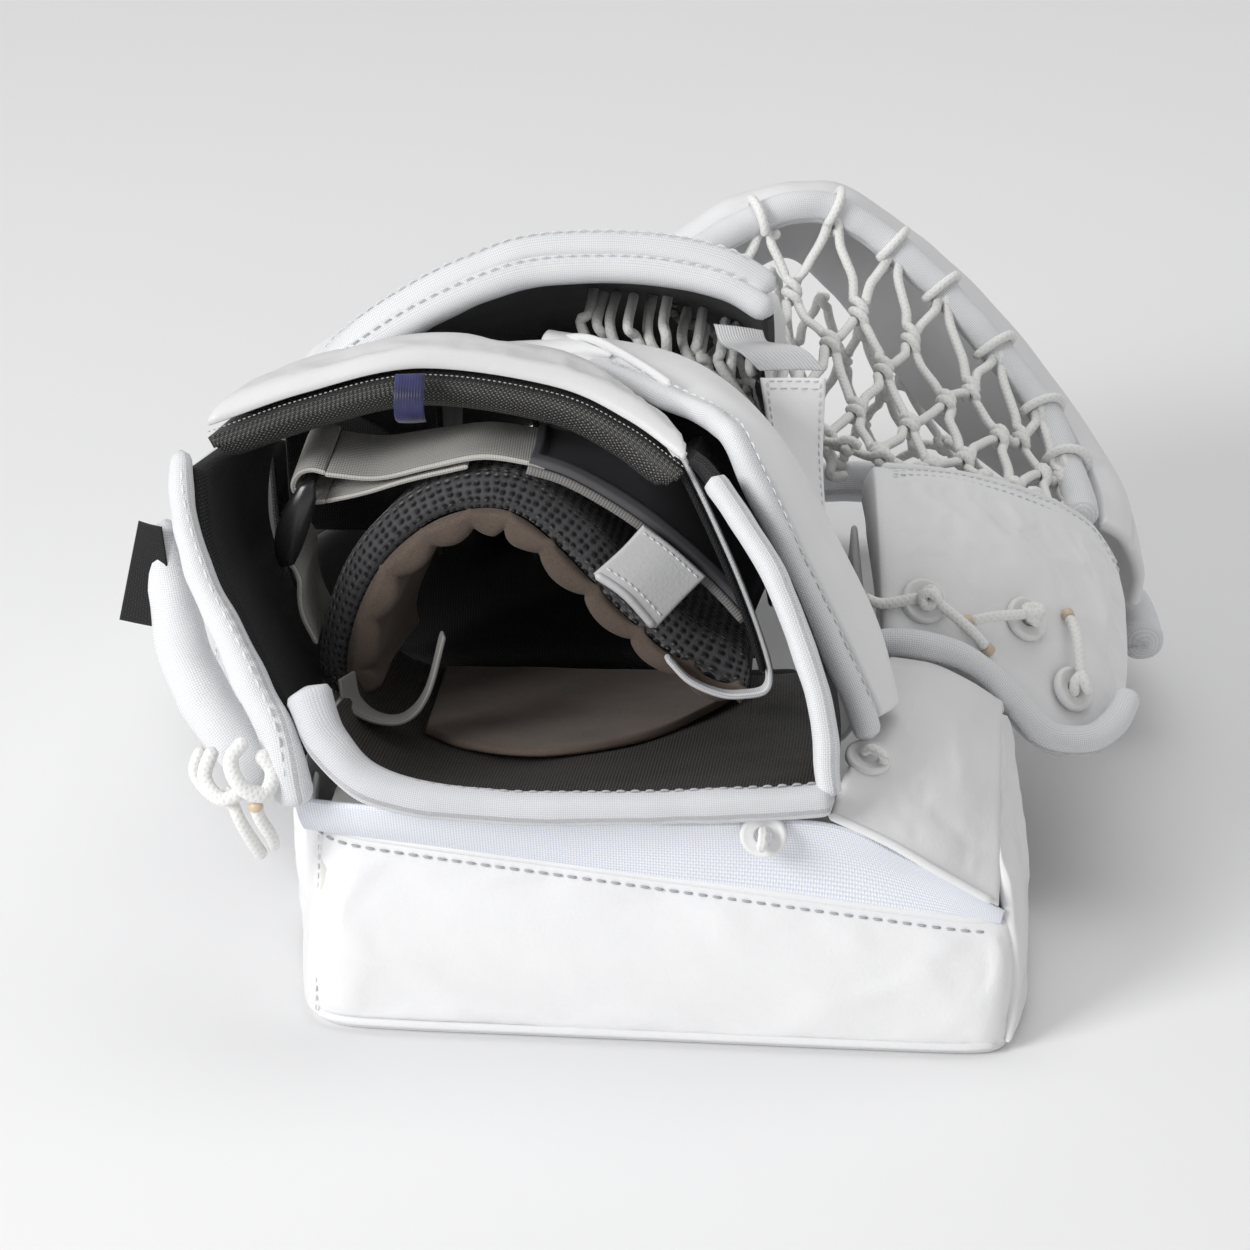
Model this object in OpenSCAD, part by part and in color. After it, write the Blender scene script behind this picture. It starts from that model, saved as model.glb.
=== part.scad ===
// Ice hockey goalkeeper's catch glove, worn on the left hand, lying palm down.
// +Z is the back of the hand, +Y runs from the elbow to the fingertips and +X is the thumb side.
// The origin is the middle of the flat leather face under the cuff block. Millimetres.

/* [Cuff block] */
// Width of the cuff block across the wrist
cuff_w = 200; // [190:1:203]
// Length of the cuff block's flat face along the arm
cuff_l = 94; // [88:1:100]
// Height of the block at its elbow edge
cuff_h = 62; // [56:1:62]
// Radius of the block's little-finger corner
corner_r = 26; // [16:1:30]

/* [Leather, fabric and foam] */
// Thickness of the leather panels
leather_t = 2; // [1.6:0.1:2.2]
// Thickness of the padded walls round the wrist
wall_t = 7; // [5:0.5:7]
// Radius of the rolled edge binding on the wrist opening
bind_r = 5.2; // [4.4:0.1:5.4]
// Thickness of the foam in the thumb and finger boards
board_t = 17; // [14:1:18]

/* [Pocket] */
// Diameter of the pocket lace
lace_d = 3.4; // [3:0.1:3.8]
// Mesh cells of the thumb-side net along the pocket
net_cells = 8; // [6:1:9]

/* [Hidden] */

white = [0.93, 0.93, 0.94];
off_white = [0.86, 0.86, 0.87];
charcoal = [0.10, 0.10, 0.10];
suede = [0.30, 0.26, 0.24];
webbing = [0.62, 0.61, 0.58];

// The block's face leans back towards the fingers as it rises
face_lean = 0.30;
elbow_y = -cuff_l / 2 - 3;
block_back_y = 44;
gap = 0.35;

// ---- Curves and surfaces ----

// Point of a Catmull-Rom curve through pts, at u from 0 to 1
function curve_at(pts, u) =
  let (
    n = len(pts) - 1,
    s = min(n - 0.000001, max(0, u * n)),
    i = floor(s),
    t = s - i,
    b = pts[i],
    c = pts[i + 1],
    a = i > 0 ? pts[i - 1] : 2 * b - c,
    d = i + 2 <= n ? pts[i + 2] : 2 * c - b
  )
  0.5 * (2 * b + (c - a) * t + (2 * a - 5 * b + 4 * c - d) * t * t + (3 * b - a - 3 * c + d) * t * t * t);

function curve(pts, n) = [for (i = [0 : n]) curve_at(pts, i / n)];

// Grid of (n + 1) x (m + 1) points on the surface through the rows
function patch(rows, n, m) =
  let (smooth_rows = [for (row = rows) curve(row, m)])
  [for (i = [0 : n]) [for (j = [0 : m]) curve_at([for (row = smooth_rows) row[j]], i / n)]];

function unit(v) = v / max(norm(v), 0.000001);

function normal_at(grid, i, j) =
  let (
    n = len(grid) - 1,
    m = len(grid[0]) - 1,
    along_row = grid[i][min(m, j + 1)] - grid[i][max(0, j - 1)],
    across = grid[min(n, i + 1)][j] - grid[max(0, i - 1)][j]
  )
  unit(cross(along_row, across));

// Point and outward axis on the surface through rows, u across the rows and v along them
function on_rows(rows, u, v) = curve_at([for (row = rows) curve_at(row, v)], u);
function spot_axis(rows, u, v) =
  unit(cross(on_rows(rows, u, v + 0.02) - on_rows(rows, u, v - 0.02),
    on_rows(rows, u + 0.02, v) - on_rows(rows, u - 0.02, v)));
function spot(rows, u, v, lift) = on_rows(rows, u, v) + lift * spot_axis(rows, u, v);

// How full a pad is at a grid position: 1 in the middle and edge_share along its edges
function fullness(i, j, n, m, edge_share) =
  let (
    across = sin(180 * i / n),
    along = sin(180 * j / m),
    rise = min(1, 2.2 * min(across, along))
  )
  edge_share + (1 - edge_share) * rise;

// Closed solid around a surface: above on its normal's side, below on the other
module pad(rows, above, below, n = 8, m = 10, edge_share = 1) {
  grid = patch(rows, n, m);
  top = [for (i = [0 : n]) for (j = [0 : m])
    grid[i][j] + normal_at(grid, i, j) * above * fullness(i, j, n, m, edge_share)];
  bottom = [for (i = [0 : n]) for (j = [0 : m])
    grid[i][j] - normal_at(grid, i, j) * below * fullness(i, j, n, m, edge_share)];
  layer = (n + 1) * (m + 1);
  function at(i, j) = i * (m + 1) + j;
  top_faces = [for (i = [0 : n - 1]) for (j = [0 : m - 1]) each [
    [at(i, j), at(i + 1, j), at(i + 1, j + 1)],
    [at(i, j), at(i + 1, j + 1), at(i, j + 1)]
  ]];
  bottom_faces = [for (face = top_faces) [face[2] + layer, face[1] + layer, face[0] + layer]];
  rim = concat(
    [for (j = [0 : m - 1]) at(0, j)],
    [for (i = [0 : n - 1]) at(i, m)],
    [for (j = [m : -1 : 1]) at(n, j)],
    [for (i = [n : -1 : 1]) at(i, 0)]
  );
  side_faces = [for (k = [0 : len(rim) - 1])
    let (a = rim[k], b = rim[(k + 1) % len(rim)])
    each [[a, b, b + layer], [a, b + layer, a + layer]]];
  polyhedron(concat(top, bottom), concat(top_faces, bottom_faces, side_faces));
}

// Round bar swept along a path, with flat ends. toward is never parallel to the path.
module bar(pts, r, rings = 24, sides = 8, toward = [0.13, 0.31, 1]) {
  path = curve(pts, rings);
  function tangent(i) = unit(path[min(rings, i + 1)] - path[max(0, i - 1)]);
  function side_of(i) = unit(cross(tangent(i), toward));
  points = [for (i = [0 : rings]) for (k = [0 : sides - 1])
    let (s = side_of(i), up = cross(s, tangent(i)), a = 360 * k / sides)
    path[i] + r * (s * cos(a) + up * sin(a))];
  function at(i, k) = i * sides + (k + sides) % sides;
  walls = [for (i = [0 : rings - 1]) for (k = [0 : sides - 1]) each [
    [at(i, k), at(i, k + 1), at(i + 1, k + 1)],
    [at(i, k), at(i + 1, k + 1), at(i + 1, k)]
  ]];
  caps = [
    [for (k = [sides - 1 : -1 : 0]) at(0, k)],
    [for (k = [0 : sides - 1]) at(rings, k)]
  ];
  polyhedron(points, concat(walls, caps));
}

// Disc with its axis along a direction
module disc(centre, axis, r, h, hole_r = 0) {
  lean = acos(unit(axis)[2]);
  turn = atan2(axis[1], axis[0]);
  translate(centre) rotate([0, lean, turn])
    difference() {
      cylinder(r = r, h = h, $fn = 32);
      if (hole_r > 0) translate([0, 0, -1]) cylinder(r = hole_r, h = h + 2, $fn = 24);
    }
}

// ---- Cuff block ----

// A point on the elbow face, lifted off it by out
function face_point(x, z, out = 0) = [x, elbow_y + face_lean * z - out, z + out * face_lean];

seam_left_z = 56;
seam_right_z = 37;
half_w = cuff_w / 2;
function seam_z(x) = seam_left_z + (seam_right_z - seam_left_z) * (x + half_w) / cuff_w;

module plan(inset) {
  hull() {
    translate([-half_w + corner_r + inset, elbow_y + corner_r * 0.6 + inset])
      circle(r = corner_r * 0.6, $fn = 40);
    translate([half_w - 8 - inset, elbow_y + 8 + inset]) circle(r = 8, $fn = 40);
    translate([half_w - 6 - inset, block_back_y - 6 - inset]) circle(r = 6, $fn = 40);
    translate([-half_w + 6 + inset, block_back_y - 6 - inset]) circle(r = 6, $fn = 40);
  }
}

module cuff_front_leather() {
  color(white) linear_extrude(leather_t)
    polygon([
      [-half_w + corner_r, elbow_y], [half_w - 2, elbow_y], [half_w, elbow_y + 2],
      [half_w, block_back_y], [-half_w, block_back_y],
      for (a = [180 : 15 : 270]) [-half_w + corner_r + corner_r * cos(a), elbow_y + corner_r + corner_r * sin(a)]
    ]);
}

module cuff_composite_board() {
  color([0.15, 0.15, 0.16]) translate([0, 0, leather_t]) linear_extrude(2.4)
    polygon([
      [-half_w + corner_r + 6, elbow_y + 6], [half_w - 6, elbow_y + 6],
      [half_w - 6, block_back_y - 5], [-half_w + 6, block_back_y - 5],
      for (a = [180 : 30 : 270]) [-half_w + corner_r + 6 + corner_r * cos(a), elbow_y + corner_r + 6 + corner_r * sin(a)]
    ]);
}

foam_z = 7;
module cuff_foam() {
  color([0.75, 0.75, 0.72])
    hull() {
      for (x = [-half_w + 26, half_w - 5]) translate(face_point(x, foam_z, -3)) sphere(r = 1, $fn = 16);
      translate(face_point(-half_w + 26, cuff_h - 6, -4)) sphere(r = 1, $fn = 16);
      translate(face_point(half_w - 5, seam_right_z - 3, -4)) sphere(r = 1, $fn = 16);
      translate([-half_w + 5, elbow_y + 30, foam_z]) sphere(r = 1, $fn = 16);
      translate([-half_w + 5, elbow_y + 36, cuff_h - 10]) sphere(r = 1, $fn = 16);
      for (x = [-half_w + 5, half_w - 5]) {
        translate([x, block_back_y - 4, foam_z]) sphere(r = 1, $fn = 16);
        translate([x, block_back_y - 4, seam_right_z - 3]) sphere(r = 1, $fn = 16);
      }
    }
}

function elbow_row(z_share, out) = [
  for (x = [-half_w + 3, -half_w + 30, 0, half_w * 0.6, half_w - 3])
    face_point(x, leather_t + gap + (seam_z(x) - leather_t - gap) * z_share, out)
];

module cuff_elbow_leather() {
  color(white) pad([elbow_row(0, 0), elbow_row(0.5, 1.5), elbow_row(1, 0)], leather_t, 0, n = 4, m = 12);
}

mesh_top_z = 64;
module cuff_mesh_panel() {
  left_x = -half_w + 3;
  right_x = half_w - 4;
  low = [for (x = [left_x, -half_w / 2, 0, half_w * 0.55, right_x]) face_point(x, seam_z(x) + 1.3, 0)];
  high = [
    [left_x, -36, mesh_top_z - 2], [-50, -41, mesh_top_z], [0, -42, mesh_top_z], [50, -40.5, mesh_top_z],
    [74, -38.5, 53], [right_x, -37.5, seam_right_z + 4]
  ];
  color(off_white) pad([low, high], 1.4, 0, n = 3, m = 14);
}

// Raised end of the block that carries the thumb
shoulder_low = [[54, -37, 67], [70, -37, 59], [84, -36.5, 50], [93.5, -36, 44.5]];
shoulder_mid = [[56, -12, 77], [70, -14, 74], [83, -16, 68], [92.5, -14, 61]];
shoulder_high = [[60, 18, 84], [72, 20, 83], [83, 20, 80.5], [91.5, 20, 77]];

shoulder_rows = [shoulder_low, shoulder_mid, shoulder_high];
module cuff_shoulder_leather() {
  color(white) pad(shoulder_rows, leather_t, 0, n = 6, m = 8);
}

module cuff_shoulder_foam() {
  color([0.75, 0.75, 0.72])
    hull() {
      for (p = [[61, -18, 60], [88, -22, 49], [86, 14, 71], [65, 14, 77]]) translate(p) sphere(r = 1.5, $fn = 16);
      for (p = [[62, 34, 70], [88, 34, 62], [90, 38, 50], [62, 38, 50]]) translate(p) sphere(r = 1.5, $fn = 16);
    }
}

module cuff_seam_piping() {
  color([0.92, 0.91, 0.85]) bar([[53, -41.3, 67.5], [70, -41, 59], [85, -40.5, 50], [97, -40, 43.5]], 1.2, rings = 12, sides = 8);
}

module end_panel(side, rows) {
  color(white) pad(rows, side > 0 ? leather_t : 0, side > 0 ? 0 : leather_t, n = 6, m = 6);
}

thumb_end_rows = [
  [[101, -46, 4], [104, -20, 3], [104, 10, 3], [102, 40, 3]],
  [[100.5, -38, 34], [102.5, -15, 34], [102.5, 12, 36], [101, 40, 38]],
  [[97.5, -30, 50], [97.5, -12, 56], [97.5, 14, 60], [98, 40, 56]],
  [[95, -18, 62], [95, 0, 70], [95, 20, 74], [95.5, 40, 68]]
];
pinky_end_rows = [
  [[-93, -43, 4], [-102, -20, 4], [-102, 10, 4], [-101, 40, 4]],
  [[-97, -36, 30], [-104, -14, 30], [-104, 12, 30], [-102, 40, 28]],
  [[-98, -28, 60], [-103, -8, 56], [-103, 14, 52], [-102, 40, 46]]
];

module cuff_thumb_end_panel() { end_panel(1, thumb_end_rows); }
module cuff_pinky_end_panel() { end_panel(-1, pinky_end_rows); }

module cuff_back_leather() {
  color(white) pad([
    [for (x = [-97, -48, 0, 48, 97]) [x, block_back_y - 0.4, 3]],
    [for (x = [-97, -48, 0, 48, 97]) [x, block_back_y + 0.6, 19]],
    [for (x = [-97, -48, 0, 48, 97]) [x, block_back_y - 0.4, 35]]
  ], leather_t, 0, n = 3, m = 8);
}

washer_r = 6.5;
washer_t = 1.6;
lace_hole_r = 2.6;
module cuff_lace_washers() {
  color(white) {
    disc([32, -43.3, 61], [0, -1, 0], washer_r, washer_t, lace_hole_r);
    disc(spot(shoulder_rows, 0.30, 0.10, leather_t + gap), spot_axis(shoulder_rows, 0.30, 0.10),
      washer_r, washer_t, lace_hole_r);
  }
}

// ---- Wrist tunnel ----

floor_rows = [
  [[-91, -38, 92], [-84, -43, 81], [-68, -45, 73], [-40, -45, 72], [0, -45, 74], [46, -42, 76]],
  [[-91, 20, 76], [-84, 20, 67], [-68, 20, 61], [-40, 20, 59], [0, 20, 61], [46, 20, 66]],
  [[-91, 84, 62], [-84, 84, 54], [-68, 84, 50], [-40, 84, 49], [0, 84, 50], [42, 80, 56]]
];
pinky_wall_rows = [
  [[-100, -37, 76], [-106, -33, 92], [-117, -22, 109], [-129, -8, 126], [-135, 7, 142]],
  [[-101, 25, 62], [-115, 30, 82], [-127, 38, 102], [-132, 48, 121], [-129, 52, 136]],
  [[-104, 84, 52], [-119, 86, 70], [-128, 88, 92], [-128, 90, 112], [-123, 92, 130]]
];
thumb_wall_rows = [
  [[50, -41, 80], [43.5, -31.5, 107], [30.5, -12.5, 132], [13, 7, 149.5]],
  [[48.5, 4, 73], [43, 8, 97], [30.5, 20, 121], [11, 30, 139]],
  [[45, 46, 67], [40, 44, 89], [30, 48, 110], [11, 56, 129]]
];

module tunnel_floor() { color(charcoal) pad(floor_rows, 0, wall_t - 1, n = 5, m = 12); }
module tunnel_pinky_wall() { color(white) pad(pinky_wall_rows, wall_t / 2, wall_t / 2, n = 6, m = 9); }
module tunnel_thumb_wall() { color(white) pad(thumb_wall_rows, wall_t / 2 - 1, wall_t / 2 - 1, n = 6, m = 8); }

module rim_binding_floor() {
  color(white) bar([[-94, -34, 99], [-86, -43, 86], [-70, -47, 74], [-42, -48, 70], [-3, -48, 72], [50, -45, 74]],
    bind_r, rings = 22);
}
module rim_binding_pinky() {
  color(white) bar([[-100.4, -41, 72], [-104, -39, 86], [-113.5, -31.5, 102], [-126.5, -18, 120], [-134.5, -4, 136], [-138, 7, 147]],
    bind_r, rings = 18);
}
module rim_binding_thumb() {
  color(white) bar([[53, -44, 75], [48.5, -40, 93], [41, -29, 114], [30, -13.5, 133.5], [13.5, 5.5, 151]],
    bind_r, rings = 14);
}

// Leather that wraps from the thumb side over the back of the wrist
wrap_rows = [
  [[61, -12, 86], [50.5, -4, 105], [37.5, 5, 127], [23.5, 17, 150], [8, 40, 156.5], [-8, 60, 157], [-44, 92, 154.5]],
  [[64.5, -5, 85.5], [56, 5, 105.5], [44, 15, 126], [30.5, 29, 147], [13, 53, 154.5], [-7, 73, 155.5], [-44, 98, 154]],
  [[64.5, 2, 84.5], [58, 13, 103], [47, 24, 121], [33, 42, 138.5], [16, 66, 149], [-6, 88, 152.5], [-44, 102, 152]]
];
module wrist_wrap() { color(white) pad(wrap_rows, 0.5, 2.5, n = 6, m = 16); }
module wrist_wrap_binding() {
  color(white) bar([[61, -17, 84], [49.5, -9, 103], [36.5, 0.5, 126], [22.5, 13, 150.5], [15, 25.5, 158.3], [4, 43.5, 157.8], [-16, 68, 158.5]],
    3.8, rings = 20);
}

// Padded flap over the wrist, hinged along its far edge
flap_rows = [
  [[-131, 19, 154], [-104, 24, 163], [-72, 28, 170], [-34, 28, 166], [-12, 22, 159], [4, 13, 151]],
  [[-123, 46, 152], [-100, 50, 160], [-70, 52, 166], [-36, 52, 162], [-18, 47, 156], [-6, 40, 150]],
  [[-114, 74, 142], [-94, 78, 148], [-68, 80, 152], [-38, 80, 148], [-26, 77, 144], [-16, 71, 140]]
];
module wrist_flap() { color(white) pad(flap_rows, 5, 1, n = 7, m = 11, edge_share = 0.7); }
module wrist_flap_lining() { color(charcoal) pad(flap_rows, -1.3, 6, n = 7, m = 11, edge_share = 0.75); }

module size_loop() {
  color([0.08, 0.08, 0.25]) pad([
    [[-77, 17, 166], [-73, 17, 166], [-69, 17, 166]],
    [[-77, 16.5, 158], [-73, 16.5, 158], [-69, 16.5, 158]]
  ], 0.4, 0.4, n = 3, m = 3);
}

module side_label() {
  color([0.05, 0.05, 0.05]) pad([
    [[-142.5, -7, 135], [-145, -5.5, 135.2], [-147, -4, 135.5]],
    [[-141.5, -7, 119.7], [-146, -5, 119.8], [-150.5, -3, 120]],
    [[-140, -7, 103.1], [-147, -5, 103.6], [-154.5, -3, 104.1]]
  ], 0.5, 0.5, n = 4, m = 4);
}

module pinky_lace_knots() {
  color(white) {
    bar([[-109, -43, 86], [-113, -46, 79], [-110, -47, 72]], 3.6, rings = 8);
    bar([[-112, -45, 66], [-109, -42, 58], [-106, -36, 48]], 3.2, rings = 8);
    bar([[-120, -38, 79], [-117, -40, 68], [-111, -38, 57]], 3.0, rings = 8);
  }
}

// ---- Inside the wrist ----

liner_rows = [
  [[-70, 12, 63.6], [-56, 2, 64], [-34, -2, 64.6], [-12, 12, 62.6], [8, 38, 59], [19, 58, 57]],
  [[-71, 44, 57.6], [-54, 40, 57], [-34, 38, 57], [-12, 46, 56.2], [6, 60, 55], [18, 68, 55]],
  [[-72, 78, 52.4], [-54, 80, 51], [-34, 80, 50.6], [-12, 80, 50.8], [6, 79, 52], [18, 76, 54]]
];
module palm_liner() { color(suede) pad(liner_rows, 2.6, -1, n = 6, m = 8); }

pad_rows = [
  [[-90, 22, 80], [-91, 22, 92], [-84, 22, 108], [-73, 22, 121], [-60, 22, 129], [-48, 22, 130], [-37, 22, 125],
    [-23, 22, 111], [-10, 22, 97], [9, 22, 84], [21, 22, 80]],
  [[-88, 52, 76], [-89, 52, 88], [-82, 52, 103], [-71, 52, 116], [-59, 52, 124], [-47, 52, 125], [-36, 52, 120],
    [-22, 52, 107], [-10, 52, 94], [9, 52, 81], [20, 52, 77]],
  [[-86, 86, 72], [-86, 86, 83], [-79, 86, 96], [-69, 86, 107], [-58, 86, 114], [-46, 86, 115], [-35, 86, 111],
    [-22, 86, 100], [-10, 86, 88], [8, 84, 77], [19, 82, 73]]
];
module wrist_pad() { color(charcoal) pad(pad_rows, 7, 0, n = 4, m = 18, edge_share = 0.7); }
module wrist_pad_liner() { color(suede) pad(pad_rows, -0.5, 5, n = 4, m = 18, edge_share = 0.6); }

strap_rows = [
  [[-98.5, 26, 138.2], [-84, 25, 137.4], [-69, 25, 141.6], [-54, 25, 145.4], [-42, 25, 144.2]],
  [[-98.5, 43, 137.6], [-85, 43, 136.8], [-70, 43, 140.4], [-55, 43, 143.6], [-42, 43, 142.6]],
  [[-98.5, 60, 136.6], [-86, 60, 135.6], [-71, 60, 138.4], [-56, 60, 141], [-43, 60, 140]]
];
module wrist_strap() { color(webbing) pad(strap_rows, 1.2, 1.2, n = 4, m = 14); }

patch_rows = [
  [[-40.5, 25, 143.6], [-30, 25, 140.4], [-19, 25, 134.4], [-8, 25, 127.5], [4, 25, 117.5], [15, 25, 107], [23, 25, 98]],
  [[-40.5, 43, 141.8], [-29, 43, 139.6], [-15, 43, 135.4], [-4, 43, 129], [7, 43, 119], [17, 43, 108], [25, 43, 98]],
  [[-41.5, 59, 139.2], [-28, 59, 139.6], [-12, 59, 136], [1, 59, 129.5], [11, 59, 119], [20, 57, 107.5], [27, 55, 98]]
];
module strap_patch() { color([0.35, 0.35, 0.37]) pad(patch_rows, 2, 1.2, n = 3, m = 10); }

ring_w = 40;
ring_y = 23;
ring_bar_r = 1.9;
ring_top = [-104, 134];
ring_low = [-110, 112];
module strap_ring() {
  color([0.07, 0.07, 0.08]) {
    for (y = [ring_y, ring_y + ring_w])
      bar([[ring_top[0], y, ring_top[1]], [-109.5, y, 124], [ring_low[0], y, ring_low[1]]], ring_bar_r, rings = 6);
    for (end = [ring_top, ring_low])
      translate([end[0], ring_y, end[1]]) rotate([-90, 0, 0]) cylinder(r = ring_bar_r, h = ring_w, $fn = 24);
  }
}

// Strap folded round the ring's upper bar
turn_r = 4.2;
module strap_turn() {
  fold = [for (a = [70 : 20 : 290]) [ring_top[0] + turn_r * cos(a), ring_top[1] + turn_r * sin(a)]];
  color(webbing) pad([
    [for (p = fold) [p[0], ring_y + 4, p[1]]],
    [for (p = fold) [p[0], ring_y + ring_w - 4, p[1]]]
  ], 0.9, 0.9, n = 2, m = 12);
}

module ring_anchor_strap() {
  color(webbing) pad([
    [[-107, 27, 113.5], [-106.6, 27, 108], [-107.6, 27, 100], [-107, 27, 92], [-104, 27, 84]],
    [[-107, 59, 113.5], [-106.6, 59, 108], [-107.6, 59, 100], [-107, 59, 91], [-104, 59, 82]]
  ], 0.9, 0.9, n = 3, m = 8);
}

module pad_edge_strap() {
  color(white) pad([
    [[6, 14, 142], [10, 14, 136], [15.5, 14, 127.5], [23, 13.5, 108], [28.5, 13, 91], [29, 12, 83], [22, 12, 78.5],
      [9, 13, 80], [0, 15, 85]],
    [[4, 20, 139.5], [8.5, 20, 134], [14.5, 20, 125.5], [22.5, 20, 106.5], [28, 19.5, 90], [28.5, 19, 82], [22, 19, 77.5],
      [9, 20, 79], [0, 20.5, 84]]
  ], 0.8, 0.8, n = 2, m = 18);
}

module pull_tab() {
  color([0.72, 0.72, 0.72]) pad([
    [[-7.6, 20.4, 126], [1, 20, 120.5], [9.8, 20.4, 111.4]],
    [[-14, 16.4, 120.5], [-5, 15.8, 115], [3.4, 16.4, 105.5]],
    [[-20.8, 12.6, 116], [-12, 12, 110], [-3.6, 12.6, 99.6]]
  ], 0.9, 0.9, n = 5, m = 5);
}

// Three walls that part the hand compartment into four finger channels
module finger_dividers() {
  color(charcoal)
    for (x = [-82, -52, -22])
      pad([
        [[x, 152, 56], [x, 180, 56], [x, 206, 55]],
        [[x, 152, 84], [x, 180, 76], [x, 206, 68]],
        [[x, 152, 118], [x, 180, 108], [x, 206, 96]]
      ], 1, 1, n = 3, m = 4);
}

// ---- Palm, fingers and back of the hand ----

palm_rows = [
  [[-102, 47, 20], [-62, 47, 25], [-12, 47, 26], [34, 47, 32]],
  [[-122, 74, 19], [-70, 76, 28], [-16, 76, 30], [36, 74, 38]],
  [[-136, 104, 16], [-80, 108, 33], [-20, 108, 37], [34, 102, 43]]
];
module palm_pad() { color(white) pad(palm_rows, 7, 7, n = 6, m = 12, edge_share = 0.8); }

finger_rows = [
  [[-137, 106, 17], [-80, 110, 34], [-24, 110, 38], [24, 106, 48]],
  [[-146, 170, 18], [-85, 174, 38], [-32, 174, 44], [12, 168, 48]],
  [[-138, 232, 15], [-85, 236, 34], [-40, 236, 40], [8, 230, 40]],
  [[-108, 286, 9], [-78, 296, 15], [-42, 299, 17], [-4, 288, 18]]
];
module finger_board() { color(white) pad(finger_rows, board_t / 2, board_t / 2, n = 9, m = 9, edge_share = 0.75); }

module finger_board_binding() {
  color(white) bar([
    [-106, 44.5, 24], [-128, 78, 22], [-143, 112, 20], [-151, 172, 20], [-143, 236, 17], [-112, 291, 10],
    [-78, 301, 12], [-42, 304, 14], [-2, 293, 17]
  ], 5, rings = 32);
}

pinky_side_rows = [
  [[-106, 94, 34], [-134, 118, 33], [-143, 174, 33], [-135, 232, 29], [-112, 276, 23]],
  [[-122, 97, 74], [-138, 124, 70], [-143, 178, 58], [-134, 234, 42], [-112, 274, 27]],
  [[-126, 99, 112], [-131, 128, 106], [-134, 182, 82], [-127, 236, 52], [-110, 273, 31]]
];
module pinky_side_wall() { color(white) pad(pinky_side_rows, 1.4, 1.4, n = 4, m = 11); }

protector_rows = [
  [[-122, 100, 122], [-106, 94, 142], [-80, 100, 158], [-46, 110, 169], [-16, 112, 169], [10, 110, 166], [24, 106, 160]],
  [[-128, 140, 108], [-108, 146, 128], [-80, 152, 140], [-46, 158, 148], [-14, 158, 147], [10, 154, 142], [22, 148, 134]],
  [[-128, 196, 84], [-108, 204, 104], [-80, 210, 116], [-46, 214, 123], [-14, 214, 122], [8, 208, 115], [18, 200, 105]],
  [[-120, 246, 54], [-98, 256, 76], [-74, 262, 88], [-46, 266, 94], [-18, 266, 92], [2, 260, 82], [12, 252, 70]],
  [[-108, 282, 24], [-90, 292, 34], [-68, 298, 42], [-44, 300, 46], [-22, 299, 43], [-4, 294, 36], [6, 286, 28]]
];
module finger_protector() { color(white) pad(protector_rows, 6, 3, n = 9, m = 14, edge_share = 0.6); }
module finger_protector_binding() {
  color(white) bar([[-121, 95, 122], [-106, 89, 143], [-80, 95, 160], [-46, 105, 171], [-16, 107, 171], [10, 105, 168], [24, 101, 162]],
    4.6, rings = 20);
}

// Elastic that bridges from the finger protector to the leather tab on the wrist wrap
module back_elastic() {
  color(off_white) pad([
    [[6, 108, 155.5], [8.5, 104.5, 150.6], [14.5, 102.6, 148.4], [20.2, 102.4, 143.2]],
    [[20.5, 109, 153.5], [23, 107, 150.2], [33, 106.2, 149], [39.8, 104.6, 143]]
  ], 0.8, 0.8, n = 3, m = 8);
}

module back_strap_tab() {
  color(off_white) pad([
    [[20.4, 101, 141.4], [23, 90, 133], [25.6, 78, 125.1], [30.9, 62, 115.5], [35, 50, 108]],
    [[39.9, 103, 141.2], [40, 94, 132], [40.2, 84, 123.1], [41.6, 70, 111.6], [43.5, 60, 103.6]]
  ], 1.2, 1.2, n = 4, m = 12);
}

module finger_gusset() {
  color(white) pad([
    [[24, 116, 60], [17, 168, 60], [11, 224, 54], [0, 266, 36]],
    [[26, 116, 100], [21, 160, 88], [16, 210, 72], [4, 262, 44]],
    [[20, 118, 142], [17, 152, 120], [13, 200, 94], [4, 254, 56]]
  ], 1.4, 1.4, n = 4, m = 9);
}

// ---- Thumb ----

thumb_rows = [
  [[60, 54, 78], [74, 54, 73], [95, 58, 62], [112, 56, 49], [124, 63, 43], [130, 80, 44]],
  [[58, 70, 94], [76, 76, 91], [98, 82, 80], [116, 84, 65], [127, 90, 56], [132, 98, 52]],
  [[56, 88, 106], [76, 100, 101], [100, 108, 90], [118, 114, 76], [127, 116, 67], [131, 118, 60]],
  [[54, 106, 112], [78, 125, 102], [100, 138, 91], [116, 148, 79], [123, 146, 72], [128, 139, 66]]
];
module thumb_board() {
  color([0.75, 0.75, 0.72]) pad(thumb_rows, -(leather_t + gap), board_t, n = 7, m = 10);
}
module thumb_cover() { color(white) pad(thumb_rows, 0, leather_t, n = 7, m = 10); }

thumb_stall_rows = [
  [[66, 74, 62], [84, 78, 55], [102, 84, 44], [114, 92, 36]],
  [[62, 98, 60], [82, 108, 53], [100, 116, 44], [113, 122, 38]],
  [[58, 122, 80], [80, 138, 72], [98, 148, 62], [112, 154, 54]]
];
module thumb_stall() { color(suede) pad(thumb_stall_rows, 1.3, 1.3, n = 6, m = 8); }

module thumb_binding() {
  color(white) bar([[60, 48, 80], [76, 48, 77], [91, 51, 69], [102, 51, 58], [111, 50, 51], [121, 55, 47.5], [129.5, 65, 47], [134.5, 78, 48]],
    4.2, rings = 18);
}

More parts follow.
